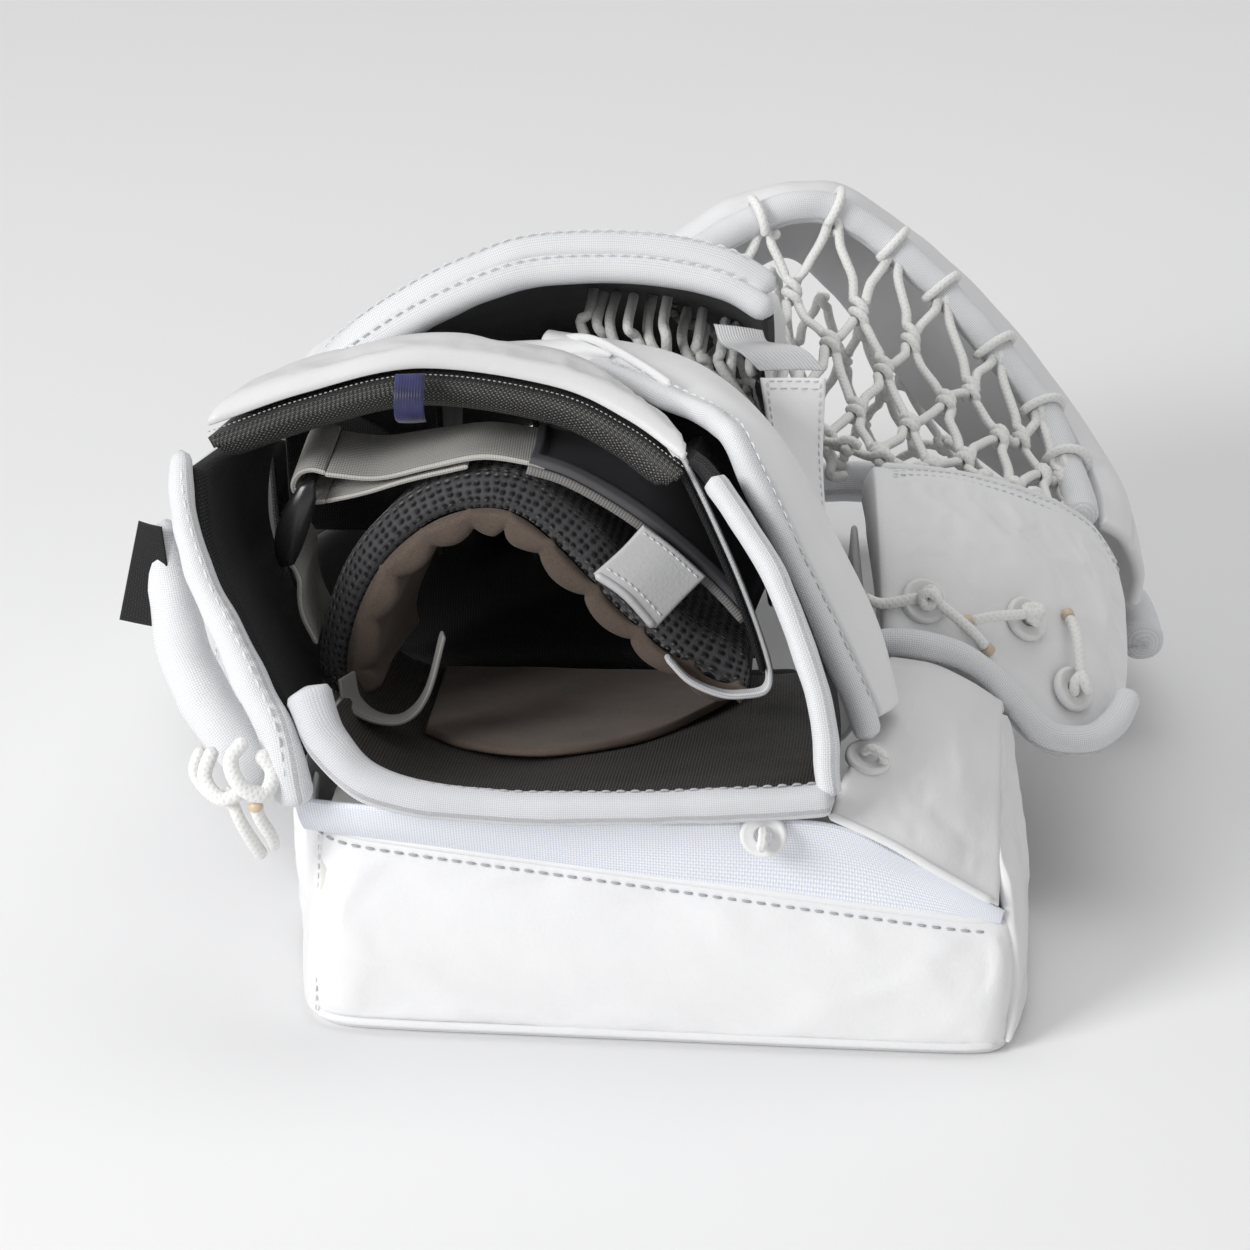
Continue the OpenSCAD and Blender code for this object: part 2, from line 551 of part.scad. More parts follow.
thumb_spots = [[0.20, 0.15], [0.28, 0.43], [0.17, 0.61]];
module thumb_lace_washers() {
  color(white)
    for (s = thumb_spots)
      disc(spot(thumb_rows, s[0], s[1], gap), spot_axis(thumb_rows, s[0], s[1]), washer_r, washer_t, lace_hole_r);
}

// Knotted lace ends: out of the washer and away to one side
knot_ends = [[11, -5, -4.5], [-8, -7.6, 4.2], [0.2, 6.2, 8.1]];
module thumb_lace_ends() {
  color(white)
    for (k = [0 : 2]) {
      s = thumb_spots[k];
      a = spot_axis(thumb_rows, s[0], s[1]);
      base = spot(thumb_rows, s[0], s[1], washer_t + 3 + gap);
      bar([base, base + a * 4, base + a * 6 + knot_ends[k] * 0.5, base + a * 2 + knot_ends[k]], lace_d / 2, rings = 8);
    }
}

// ---- Pocket: what spans from the fingers to the thumb changes shape as the glove closes ----

module palm_gusset() {
  color(white) pad([
    [[43, 58, 40], [49, 58, 45], [53, 58, 51], [57, 58, 58]],
    [[43, 84, 46], [48, 84, 54], [51, 84, 64], [53, 84, 75]],
    [[40, 108, 54], [45, 108, 66], [48, 108, 79], [49, 108, 92]]
  ], 1.2, 1.2, n = 5, m = 6);
}

band_rows = [
  [[-14, 212, 135], [6, 230, 141], [24, 240, 145], [43, 245, 140], [73, 240, 117], [106, 220, 88], [120, 192, 73],
    [124, 160, 72]],
  [[-16, 226, 136], [4, 243, 145], [24, 256, 144], [41, 262, 139], [75, 259, 114], [110, 232, 84], [128, 198, 68],
    [131, 162, 66]],
  [[-10, 248, 122], [10, 266, 130], [28, 276, 123], [45, 280, 110], [74, 272, 84], [108, 243, 62], [130, 206, 52],
    [136, 164, 54]],
  [[-4, 266, 104], [17, 280, 112], [32, 288, 98], [46, 290, 80], [70, 280, 54], [102, 252, 40], [126, 214, 37],
    [135, 166, 42]]
];
module web_band() { color(white) pad(band_rows, 2.4, 2.4, n = 6, m = 20); }

module web_band_binding() {
  color(white) bar([[-15, 206, 134], [4, 224, 141], [23, 234, 146], [41, 239, 141], [71, 234, 119], [102, 215, 90],
    [114, 190, 75], [118, 158, 75]], 3.6, rings = 26);
}

module web_crossbar() {
  color(white) bar([[2, 290, 20], [22, 298, 22], [48, 298, 24], [80, 280, 25], [110, 248, 26], [131, 208, 27],
    [139, 160, 31]], 7, rings = 22, sides = 8);
}

// Diagonal cord i of n across a surface, leaning one way or the other
function net_cord(rows, i, n, lean, steps) = [
  for (k = [0 : steps])
    let (v = k / steps, u = (i + lean * n * 0.30 * v) / n)
    if (u >= 0 && u <= 1) curve_at([for (row = rows) curve_at(row, u)], v)
];

module net(rows, n) {
  for (lean = [-1, 1])
    for (i = [-floor(n * 0.3) : n + floor(n * 0.3)]) {
      path = net_cord(rows, i, n, lean, 24);
      if (len(path) > 5) bar(path, lace_d / 2, rings = max(3, round(len(path) / 3)), sides = 6);
    }
}

thumb_net_rows = [
  [[32, 118, 122], [48, 120, 112], [68, 126, 102], [88, 140, 92], [108, 152, 80]],
  [[24, 172, 134], [42, 179, 126], [66, 180, 108], [93, 178, 91], [113, 168, 77.5]],
  [[-12, 206, 135], [24, 234, 144], [69, 233, 119], [101, 213, 90], [114, 186, 76]]
];
finger_net_rows = [
  [[14, 284, 106], [34, 290, 92], [50, 290, 76], [74, 278, 50], [104, 252, 36]],
  [[10, 292, 66], [32, 296, 60], [52, 295, 50], [78, 281, 38], [106, 252, 31]],
  [[8, 292, 27], [30, 298, 29], [54, 296, 30], [80, 281, 31], [106, 252, 32]]
];
module net_thumb_side() { color(white) net(thumb_net_rows, net_cells); }
module net_finger_side() { color(white) net(finger_net_rows, net_cells - 2); }

cuff_front_leather();
cuff_composite_board();
cuff_foam();
cuff_elbow_leather();
cuff_mesh_panel();
cuff_shoulder_foam();
cuff_shoulder_leather();
cuff_seam_piping();
cuff_thumb_end_panel();
cuff_pinky_end_panel();
cuff_back_leather();
cuff_lace_washers();
tunnel_floor();
tunnel_pinky_wall();
tunnel_thumb_wall();
rim_binding_floor();
rim_binding_pinky();
rim_binding_thumb();
wrist_wrap();
wrist_wrap_binding();
wrist_flap();
wrist_flap_lining();
size_loop();
side_label();
pinky_lace_knots();
palm_liner();
wrist_pad();
wrist_pad_liner();
wrist_strap();
strap_patch();
strap_ring();
strap_turn();
ring_anchor_strap();
pad_edge_strap();
pull_tab();
palm_pad();
finger_board();
finger_board_binding();
pinky_side_wall();
finger_gusset();
finger_dividers();
finger_protector();
finger_protector_binding();
back_elastic();
back_strap_tab();
thumb_board();
thumb_cover();
thumb_stall();
thumb_binding();
thumb_lace_washers();
thumb_lace_ends();
palm_gusset();
web_band();
web_band_binding();
web_crossbar();
net_thumb_side();
net_finger_side();
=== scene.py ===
import math
import bpy
import numpy as np
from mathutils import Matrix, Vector


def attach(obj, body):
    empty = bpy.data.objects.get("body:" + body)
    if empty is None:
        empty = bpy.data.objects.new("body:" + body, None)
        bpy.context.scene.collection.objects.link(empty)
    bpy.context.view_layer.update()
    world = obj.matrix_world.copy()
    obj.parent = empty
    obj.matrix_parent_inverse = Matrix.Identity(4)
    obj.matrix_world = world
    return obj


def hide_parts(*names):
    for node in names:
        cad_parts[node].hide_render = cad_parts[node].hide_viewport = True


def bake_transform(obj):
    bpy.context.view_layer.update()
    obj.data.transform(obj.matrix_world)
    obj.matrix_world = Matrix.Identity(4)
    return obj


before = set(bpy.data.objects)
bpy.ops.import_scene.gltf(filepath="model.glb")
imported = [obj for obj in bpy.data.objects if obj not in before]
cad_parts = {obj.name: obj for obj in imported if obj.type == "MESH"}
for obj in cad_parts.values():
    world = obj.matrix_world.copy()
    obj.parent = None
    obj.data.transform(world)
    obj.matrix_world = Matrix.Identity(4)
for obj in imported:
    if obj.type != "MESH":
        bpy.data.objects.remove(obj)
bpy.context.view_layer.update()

MM = 0.001
A = np.array


# ---- curves, surfaces and noise

def curve_at(pts, u):
    """Points of a Catmull-Rom curve through pts at the shares u (0 to 1) of its run."""
    pts = A(pts, float)
    n = len(pts) - 1
    s = np.clip(np.atleast_1d(u) * n, 0, n - 1e-9)
    i = s.astype(int)
    t = (s - i)[:, None]
    ext = np.vstack([2 * pts[0] - pts[1], pts, 2 * pts[-1] - pts[-2]])
    a, b, c, d = ext[i], ext[i + 1], ext[i + 2], ext[i + 3]
    square = 2 * a - 5 * b + 4 * c - d
    cube = 3 * b - a - 3 * c + d
    return 0.5 * (2 * b + (c - a) * t + square * t ** 2 + cube * t ** 3)


def even(pts, step):
    """The curve through pts, resampled at even steps of about step mm."""
    fine = curve_at(pts, np.linspace(0, 1, 40 * len(pts)))
    run = np.concatenate([[0], np.cumsum(np.linalg.norm(np.diff(fine, axis=0), axis=1))])
    n = max(2, int(round(run[-1] / step)))
    at = np.linspace(0, run[-1], n + 1)
    return np.stack([np.interp(at, run, fine[:, k]) for k in range(3)], 1)


def surface(rows, u, v):
    """Grid of points on the surface through rows: u across the rows, v along them."""
    cols = np.stack([curve_at(r, v) for r in rows])
    return np.stack([curve_at(cols[:, j], u) for j in range(len(v))], 1)


def unit(v):
    """Vectors scaled to length 1."""
    return v / np.maximum(np.linalg.norm(v, axis=-1, keepdims=True), 1e-9)


def normals(g):
    """Normals of a grid of points."""
    return unit(np.cross(np.gradient(g, axis=1), np.gradient(g, axis=0)))


def on_rows(rows, u, v, lift=0.0):
    """Points and normals at matching shares u and v of a surface, the points lifted along the normals."""
    u, v = np.atleast_1d(u).astype(float), np.atleast_1d(v).astype(float)
    e = 1e-3

    def at(a, b):
        return np.array([curve_at([curve_at(r, bb)[0] for r in rows], aa)[0] for aa, bb in zip(a, b)])

    p = at(u, v)
    du = at(np.clip(u + e, 0, 1), v) - at(np.clip(u - e, 0, 1), v)
    dv = at(u, np.clip(v + e, 0, 1)) - at(u, np.clip(v - e, 0, 1))
    nrm = unit(np.cross(dv, du))
    return p + nrm * lift, nrm


def scramble(i, seed):
    """Numbers from -1 to 1 that look random, one for each whole-number cell i."""
    h = (i @ A([374761393, 668265263, 2147483647]) + seed * 974634777) & 0xFFFFFFFF
    h = ((h ^ (h >> 13)) * 1274126177) & 0xFFFFFFFF
    return ((h ^ (h >> 16)) & 0xFFFFFF) / float(0xFFFFFF) * 2 - 1


def noise(p, size, seed=0):
    """Smooth value noise from -1 to 1 with lumps of about size mm (one size, or one for each axis)."""
    q = A(p, float) / A(size, float) + 1000.0
    i = np.floor(q).astype(np.int64)
    f = q - i
    f = f * f * (3 - 2 * f)
    out = 0
    for dx, dy, dz in np.ndindex(2, 2, 2):
        x, y, z = (f[..., k] if d else 1 - f[..., k] for k, d in enumerate((dx, dy, dz)))
        out = out + x * y * z * scramble(i + A([dx, dy, dz]), seed)
    return out


def smooth(x, lo, hi):
    """0 below lo, 1 above hi and an S curve between them."""
    t = np.clip((x - lo) / (hi - lo), 0, 1)
    return t * t * (3 - 2 * t)


# ---- meshes

def add_mesh(name, verts, faces, mat, uv):
    """A smooth mesh object from points in mm. uv holds one pair of mm for each point."""
    me = bpy.data.meshes.new(name)
    verts = A(verts, float) * MM
    faces = [tuple(int(k) for k in f) for f in faces]
    me.from_pydata(verts.tolist(), [], faces)
    layer = me.uv_layers.new(name="UVMap")
    idx = np.zeros(len(me.loops), int)
    me.loops.foreach_get("vertex_index", idx)
    layer.data.foreach_set("uv", (A(uv, float)[idx] * MM).ravel())
    me.update()
    me.polygons.foreach_set("use_smooth", [True] * len(me.polygons))
    ob = bpy.data.objects.new(name, me)
    bpy.context.scene.collection.objects.link(ob)
    me.materials.append(mat)
    return ob


def finish_piece(ob, body, nodes=()):
    """Say which body a piece rides on and the CAD nodes it stands for."""
    if body:
        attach(ob, body)
    if nodes:
        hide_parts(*nodes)
    return ob


def spread(length, edge, count):
    """Shares from 0 to 1 that crowd together within edge mm of both ends."""
    r = min(0.45, edge / length)
    near = r * (1 - np.cos(np.linspace(0, math.pi / 2, 5)))
    return np.concatenate([near[:-1], np.linspace(r, 1 - r, count), (1 - near[:-1])[::-1]])


def arc_lengths(g, axis):
    """Running length along one axis of a grid of points, the middle value over the other axis."""
    steps = np.linalg.norm(np.diff(g, axis=axis), axis=2)
    return np.concatenate([[0], np.cumsum(np.median(steps, axis=1 - axis))])


HOLD = {}               # for each panel, how firmly sewing holds each point in the cloth run


def panel(name, rows, up, down, count, mat, body, nodes=(), edge=None, lumps=None, under=None,
          hold=None):
    """A closed pad around the surface through rows, with rounded edges: up mm thick on its normal's side and
    down mm on the other. lumps(points, u, v) adds height; under is a second material for the lower side;
    hold(points, u, v) marks where sewing keeps the upper side down (1) in the cloth run."""
    rows = [A(r, float) for r in rows]
    mid = surface(rows, np.linspace(0, 1, 9), np.linspace(0, 1, 17))
    len_v = np.linalg.norm(np.diff(mid, axis=1), axis=2).sum(1).mean()
    len_u = np.linalg.norm(np.diff(mid, axis=0), axis=2).sum(0).mean()
    edge = edge if edge is not None else max(0.6, (up + down) / 2)
    u, v = np.meshgrid(spread(len_u, edge, count[0]), spread(len_v, edge, count[1]), indexing="ij")
    g = surface(rows, u[:, 0], v[0])
    nm = normals(g)
    from_edge = np.minimum(np.minimum(u, 1 - u) * len_u, np.minimum(v, 1 - v) * len_v)
    full = np.sqrt(np.clip(1 - (1 - np.clip(from_edge / edge, 0, 1)) ** 2, 0, 1))
    extra = 0 if lumps is None else lumps(g, u, v) * full
    top = g + nm * (up * full + extra)[..., None]
    bot = g - nm * (down * full - (extra if down <= 0.01 else 0))[..., None]
    ids = np.arange(u.size).reshape(u.shape)
    inner = np.zeros(u.shape, bool)
    inner[1:-1, 1:-1] = True
    low = ids.copy()
    low[inner] = u.size + np.arange(inner.sum())
    verts = np.vstack([top.reshape(-1, 3), bot[inner]])
    faces, mats = [], []
    for i, j in np.ndindex(u.shape[0] - 1, u.shape[1] - 1):
        faces.append((ids[i, j], ids[i + 1, j], ids[i + 1, j + 1], ids[i, j + 1]))
        mats.append(0)
        q = (low[i, j], low[i, j + 1], low[i + 1, j + 1], low[i + 1, j])
        if len(set(q)) == 4:
            faces.append(q)
            mats.append(1)
    uvs = [np.stack(np.meshgrid(arc_lengths(side, 1), arc_lengths(side, 0)), -1) for side in (top, bot)]
    uv = np.vstack([uvs[0].reshape(-1, 2), uvs[1][inner]])
    ob = add_mesh(name, verts, faces, mat, uv)
    keep = 1 - smooth(from_edge, 2.5, 8.0)
    if hold is not None:
        keep = np.maximum(keep, hold(g, u, v))
    HOLD[name] = np.concatenate([keep.ravel(), np.ones(inner.sum())])
    if under is not None:
        ob.data.materials.append(under)
        ob.data.polygons.foreach_set("material_index", mats)
    return finish_piece(ob, body, nodes)


def frames(path, hint):
    """Tangent, side and up at each point of a path, with up kept near hint."""
    t = unit(np.gradient(path, axis=0))
    hint = A(hint, float)
    if hint.ndim == 1:
        hint = np.repeat(hint[None, :], len(path), 0)
    up = unit(hint - (hint * t).sum(1, keepdims=True) * t)
    return t, np.cross(t, up), up


def sweep_data(path, hint, w, h, sides=16, power=2.0, taper=0.0, wob=0.0, seed=0):
    """Tube of oval section (w across, h along hint) swept along a path already sampled: points, faces and uv.
    power above 2 squares the section, taper rounds the ends over that many mm and wob roughens the skin."""
    path = A(path, float)
    t, s, up = frames(path, hint)
    n = len(path)
    run = np.concatenate([[0], np.cumsum(np.linalg.norm(np.diff(path, axis=0), axis=1))])
    ang = np.linspace(0, 2 * math.pi, sides, endpoint=False)
    ca, sa = np.cos(ang), np.sin(ang)
    cx = np.sign(ca) * np.abs(ca) ** (2 / power)
    cy = np.sign(sa) * np.abs(sa) ** (2 / power)
    w = np.broadcast_to(w, n).astype(float)
    h = np.broadcast_to(h, n).astype(float)
    cap = np.ones(n)
    if taper > 0:
        ends = np.clip(np.minimum(run, run[-1] - run) / taper, 0, 1)
        cap = np.maximum(np.sqrt(np.clip(1 - (1 - ends) ** 2, 0, 1)), 0.12)
    pts = path[:, None] + s[:, None] * (w * cap / 2)[:, None, None] * cx[None, :, None] + \
        up[:, None] * (h * cap / 2)[:, None, None] * cy[None, :, None]
    if wob:
        d = unit(pts - path[:, None])
        pts = pts + d * (wob * noise(pts, 9.0, seed) * cap[:, None])[..., None]
    verts = np.vstack([pts.reshape(-1, 3), path[:1], path[-1:]])
    faces = []
    for i in range(n - 1):
        for k in range(sides):
            a, b = i * sides + k, i * sides + (k + 1) % sides
            faces.append((a, b, b + sides, a + sides))
    for k in range(sides):
        faces.append((n * sides, (k + 1) % sides, k))
        faces.append((n * sides + 1, (n - 1) * sides + k, (n - 1) * sides + (k + 1) % sides))
    girth = math.pi * (w.mean() + h.mean()) / 2
    uv = np.stack([np.repeat((ang / (2 * math.pi) * girth)[None, :], n, 0),
                   np.repeat(run[:, None], sides, 1)], -1)
    uv = np.vstack([uv.reshape(-1, 2), [[0, 0]], [[0, run[-1]]]])
    return verts, [tuple(f[::-1]) for f in faces], uv


def sweep(name, pts, hint, w, h, mat, body, slot=None, nodes=(), step=2.0, **kw):
    """One swept tube as a piece, through a few points."""
    verts, faces, uv = sweep_data(even(pts, step), hint, w, h, **kw)
    return finish_piece(add_mesh(name, verts, faces, mat, uv), body, nodes)


def joined(name, parts, mat, body, nodes=()):
    """One object from several (points, faces, uv) lists."""
    vs, fs, us, base = [], [], [], 0
    for v, f, u in parts:
        vs.append(v)
        fs += [tuple(k + base for k in face) for face in f]
        us.append(u)
        base += len(v)
    return finish_piece(add_mesh(name, np.vstack(vs), fs, mat, np.vstack(us)), body, nodes)


def stitch_parts(path, nrm, pitch=4.0, share=0.72, r=0.36, sink=0.12):
    """Lock stitches along a path on a surface: short threads that rise and dive."""
    path, nrm = A(path, float), A(nrm, float)
    run = np.concatenate([[0], np.cumsum(np.linalg.norm(np.diff(path, axis=0), axis=1))])
    count = max(1, int(run[-1] / pitch))
    parts = []
    for k in range(count):
        a = (k + 0.5 - share / 2) * run[-1] / count
        b = (k + 0.5 + share / 2) * run[-1] / count
        at = np.linspace(a, b, 6)
        p = np.stack([np.interp(at, run, path[:, c]) for c in range(3)], 1)
        q = unit(np.stack([np.interp(at, run, nrm[:, c]) for c in range(3)], 1))
        rise = np.sin(np.linspace(0, math.pi, 6)) ** 0.6
        p = p + q * (r * 1.1 * rise - sink)[:, None]
        parts.append(sweep_data(p, q, 2 * r, 1.7 * r, sides=6, taper=r))
    return parts


def stitches(name, lines, body, mat=None, slot="binding_white", **kw):
    """One piece with the stitches of several lines, each given as points and normals."""
    parts = []
    for path, nrm in lines:
        parts += stitch_parts(path, nrm, **kw)
    return joined(name, parts, mat or MAT["thread"], body)


def washer(centre, axis, r, hole, h):
    """Moulded washer with a rolled rim and a dished middle, turned about axis: points, faces and uv."""
    prof = [(hole, 0), (hole, h * 0.55), (hole + 0.6, h * 0.8), (r * 0.62, h * 0.62), (r * 0.8, h * 0.95),
            (r * 0.92, h), (r, h * 0.6), (r, h * 0.1), (r * 0.95, 0)]
    axis = unit(A(axis, float))
    side = unit(np.cross(axis, [0.2, 0.9, 0.3]))
    up = np.cross(axis, side)
    sides = 40
    verts, faces, uv = [], [], []
    for k in range(sides):
        c, s = math.cos(2 * math.pi * k / sides), math.sin(2 * math.pi * k / sides)
        for x, z in prof:
            verts.append(A(centre) + side * (x * c) + up * (x * s) + axis * z)
            uv.append((x * k / sides * 6.28, z))
    m = len(prof)
    for k, j in np.ndindex(sides, m):
        a, b = k * m, ((k + 1) % sides) * m
        faces.append((a + j, b + j, b + (j + 1) % m, a + (j + 1) % m))
    return verts, faces, uv


# ---- materials

class Nodes:
    """Small helper that builds one node material."""

    def __init__(self, name, base, rough, spec=0.5, sheen=0.0, coat=0.0, coat_rough=0.3):
        self.mat = bpy.data.materials.new(name)
        self.mat.use_nodes = True
        self.t = self.mat.node_tree
        self.b = self.t.nodes["Principled BSDF"]
        for socket, value in (("Base Color", (*base, 1)), ("Roughness", rough), ("Specular IOR Level", spec),
                              ("Sheen Weight", sheen), ("Sheen Roughness", 0.45), ("Coat Weight", coat),
                              ("Coat Roughness", coat_rough)):
            self.b.inputs[socket].default_value = value
        self.base, self.height = base, None
        self.obj = self.new("ShaderNodeTexCoord").outputs["Object"]
        self.uv = self.new("ShaderNodeTexCoord").outputs["UV"]

    def new(self, kind, **props):
        n = self.t.nodes.new(kind)
        for k, v in props.items():
            setattr(n, k, v)
        return n

    def link(self, a, b):
        self.t.links.new(a, b)

    def math(self, op, a, b=0.0):
        n = self.new("ShaderNodeMath", operation=op)
        for socket, x in zip(n.inputs, (a, b)):
            if isinstance(x, (int, float)):
                socket.default_value = x
            else:
                self.link(x, socket)
        return n.outputs[0]

    def scaled(self, src, scale, turn=0.0):
        n = self.new("ShaderNodeMapping")
        n.inputs["Scale"].default_value = scale
        n.inputs["Rotation"].default_value = (0, 0, turn)
        self.link(src, n.inputs["Vector"])
        return n.outputs[0]

    def noise(self, size_mm, detail=3.0, rough=0.55, stretch=(1, 1, 1)):
        """Noise from 0 to 1 in object space, with detail of about size_mm."""
        n = self.new("ShaderNodeTexNoise")
        n.inputs["Scale"].default_value = 1.0
        n.inputs["Detail"].default_value = detail
        n.inputs["Roughness"].default_value = rough
        k = 1000.0 / size_mm
        self.link(self.scaled(self.obj, tuple(k * s for s in stretch)), n.inputs["Vector"])
        return n.outputs["Fac"]

    def cells(self, size_mm, feature="F1", src=None, rand=1.0, stretch=(1, 1, 1)):
        """Distance to the nearest of cells about size_mm apart."""
        n = self.new("ShaderNodeTexVoronoi", feature=feature)
        n.inputs["Scale"].default_value = 1.0
        n.inputs["Randomness"].default_value = rand
        k = 1000.0 / size_mm
        self.link(self.scaled(src or self.obj, tuple(k * s for s in stretch)), n.inputs["Vector"])
        return n.outputs["Distance"]

    def wave(self, pitch_mm, axis, turn=0.0):
        """Smooth 0 to 1 ripple along one axis of the UV map, one crest for each pitch."""
        sep = self.new("ShaderNodeSeparateXYZ")
        self.link(self.scaled(self.uv, (1, 1, 1), turn), sep.inputs[0])
        x = self.math("MULTIPLY", sep.outputs[axis], 2 * math.pi * 1000.0 / pitch_mm)
        return self.math("ADD", self.math("MULTIPLY", self.math("SINE", x), 0.5), 0.5)

    def ramp(self, fac, *stops):
        """Colour ramp through (position, colour) stops."""
        n = self.new("ShaderNodeValToRGB")
        while len(n.color_ramp.elements) < len(stops):
            n.color_ramp.elements.new(0.5)
        for e, (pos, col) in zip(n.color_ramp.elements, stops):
            e.position = pos
            e.color = (*col, 1)
        self.link(fac, n.inputs["Fac"])
        return n.outputs["Color"]

    def tint(self, fac, low, high):
        """Colour that goes from base times low to base times high with fac."""
        return self.ramp(fac, (0.25, tuple(c * k for c, k in zip(self.base, low))),
                         (0.75, tuple(c * k for c, k in zip(self.base, high))))

    def mix(self, fac, a, b):
        """Colour between a and b, each a socket or a colour."""
        n = self.new("ShaderNodeMix", data_type="RGBA")
        self.link(fac, n.inputs[0])
        for sock, x in ((n.inputs[6], a), (n.inputs[7], b)):
            if isinstance(x, tuple):
                sock.default_value = (*x, 1)
            else:
                self.link(x, sock)
        return n.outputs[2]

    def color(self, out):
        self.link(out, self.b.inputs["Base Color"])

    def rough(self, fac, lo, hi):
        """Roughness from lo to hi with fac."""
        n = self.new("ShaderNodeMapRange")
        n.inputs["To Min"].default_value = lo
        n.inputs["To Max"].default_value = hi
        self.link(fac, n.inputs["Value"])
        self.link(n.outputs[0], self.b.inputs["Roughness"])

    def bump(self, height, mm, strength):
        """Add a bump of mm to those set before."""
        n = self.new("ShaderNodeBump")
        n.inputs["Strength"].default_value = strength
        n.inputs["Distance"].default_value = mm * MM
        self.link(height, n.inputs["Height"])
        if self.height is not None:
            self.link(self.height, n.inputs["Normal"])
        self.height = n.outputs[0]
        self.link(self.height, self.b.inputs["Normal"])


BLACK, WHITE = (0, 0, 0), (1, 1, 1)


def leather(name, base, rough=0.44, grain=0.10, dirt=0.06, crease=0.35):
    """Coated leather: fine grain, soft dents, creases and a little dirt."""
    m = Nodes(name, base, rough, spec=0.45, coat=0.08, coat_rough=0.35)
    fine = m.cells(0.9, "SMOOTH_F1")
    pore = m.noise(0.35, 2.0)
    blotch = m.noise(38.0, 4.0, 0.6)
    soft = m.noise(9.0, 3.0)
    lines = m.noise(14.0, 3.0, 0.6, stretch=(0.5, 1.6, 1.2))
    d = 1 - dirt
    col = m.tint(blotch, (d, d, d * 1.005), WHITE)
    # painted shade: the soft dents are a little darker
    col = m.mix(m.math("MULTIPLY", m.math("SUBTRACT", 1.0, soft), 0.18), col, tuple(c * 0.88 for c in base))
    m.color(col)
    m.rough(m.math("ADD", m.math("MULTIPLY", pore, 0.5), m.math("MULTIPLY", soft, 0.5)), rough - 0.1,
            rough + 0.14)
    m.bump(lines, 0.9 * crease, 0.5)
    m.bump(soft, 0.25 * crease, 0.5)
    m.bump(fine, grain, 0.45)
    m.bump(pore, grain * 0.5, 0.35)
    return m.mat


def woven(name, base, gap_shade_colour, pitch, depth=0.22, rough=0.7, sheen=0.15, spec=0.3, painted_glint=None, turn=0.0,
          vary=0.05):
    """Plain weave: warp and weft threads pass over each other. The gaps between them are darkened towards a
    colour of painted shade, and where a glint colour is given the crests of the threads are lightened towards
    it, a painted highlight.
    """
    m = Nodes(name, base, rough, spec=spec, sheen=sheen)
    a = m.wave(pitch, 0, turn=turn)
    b = m.wave(pitch, 1, turn=turn)
    a2 = m.wave(pitch * 2, 0, turn=turn)
    b2 = m.wave(pitch * 2, 1, turn=turn)
    knots = m.math("MULTIPLY", a, b)
    over = m.math("MULTIPLY", m.math("SUBTRACT", a2, 0.5), m.math("SUBTRACT", b2, 0.5))
    height = m.math("ADD", m.math("MULTIPLY", knots, 0.8), m.math("MULTIPLY", over, 1.1))
    blotch = m.noise(30.0, 3.0)
    v = 1 - vary
    col = m.tint(blotch, (v, v, v), WHITE)
    # painted shade: the gaps between the threads are darkened towards the gap colour
    gap_shade_mask = m.ramp(knots, (0.02, WHITE), (0.42, BLACK))
    col = m.mix(gap_shade_mask, col, gap_shade_colour)
    # painted highlight: the crests of the threads are lightened towards the glint colour
    if painted_glint:
        col = m.mix(m.ramp(m.math("ADD", height, m.math("MULTIPLY", m.noise(pitch * 0.7), 0.25)),
                           (0.55, BLACK),
                           (1.0, WHITE)), col, painted_glint)
    m.color(col)
    m.rough(m.noise(pitch * 1.5, 2.0), rough - 0.12, rough + 0.1)
    m.bump(height, depth, 0.8)
    m.bump(m.noise(0.3, 2.0), 0.03, 0.5)
    return m.mat


def ribbed(name, base, valley_shade, pitch, depth=0.25, axis=1, rough=0.7, cross=0.0, sheen=0.2):
    """Tape or webbing with ribs across its length, and fine threads along it; painted shade darkens the
    valleys between the ribs.
    """
    m = Nodes(name, base, rough, spec=0.3, sheen=sheen)
    rib = m.wave(pitch, axis)
    thread = m.wave(pitch * 0.55, 1 - axis)
    h = m.math("ADD", rib, m.math("MULTIPLY", thread, 0.3 + cross))
    col = m.tint(m.noise(26.0, 3.0), (0.95, 0.95, 0.955), WHITE)
    # painted shade: the valleys between the ribs are darkened towards the valley colour
    col = m.mix(m.ramp(rib, (0.0, (0.75, 0.75, 0.75)), (0.4, BLACK)), col, valley_shade)
    m.color(col)
    m.rough(m.noise(2.0, 2.0), rough - 0.1, rough + 0.12)
    m.bump(h, depth, 0.8)
    m.bump(m.noise(0.35, 2.0), 0.03, 0.5)
    return m.mat


def suede(name, base):
    """Brushed nap with darker and lighter patches."""
    m = Nodes(name, base, 0.95, spec=0.12, sheen=0.12)
    nap = m.noise(0.5, 4.0, 0.7)
    patch = m.noise(16.0, 4.0, 0.65)
    col = m.tint(patch, (0.72, 0.72, 0.72), (1.18, 1.16, 1.14))
    col = m.mix(m.ramp(nap, (0.35, BLACK), (0.75, WHITE)), col, tuple(c * 1.35 for c in base))
    m.color(col)
    m.bump(nap, 0.16, 0.7)
    m.bump(patch, 0.5, 0.4)
    return m.mat


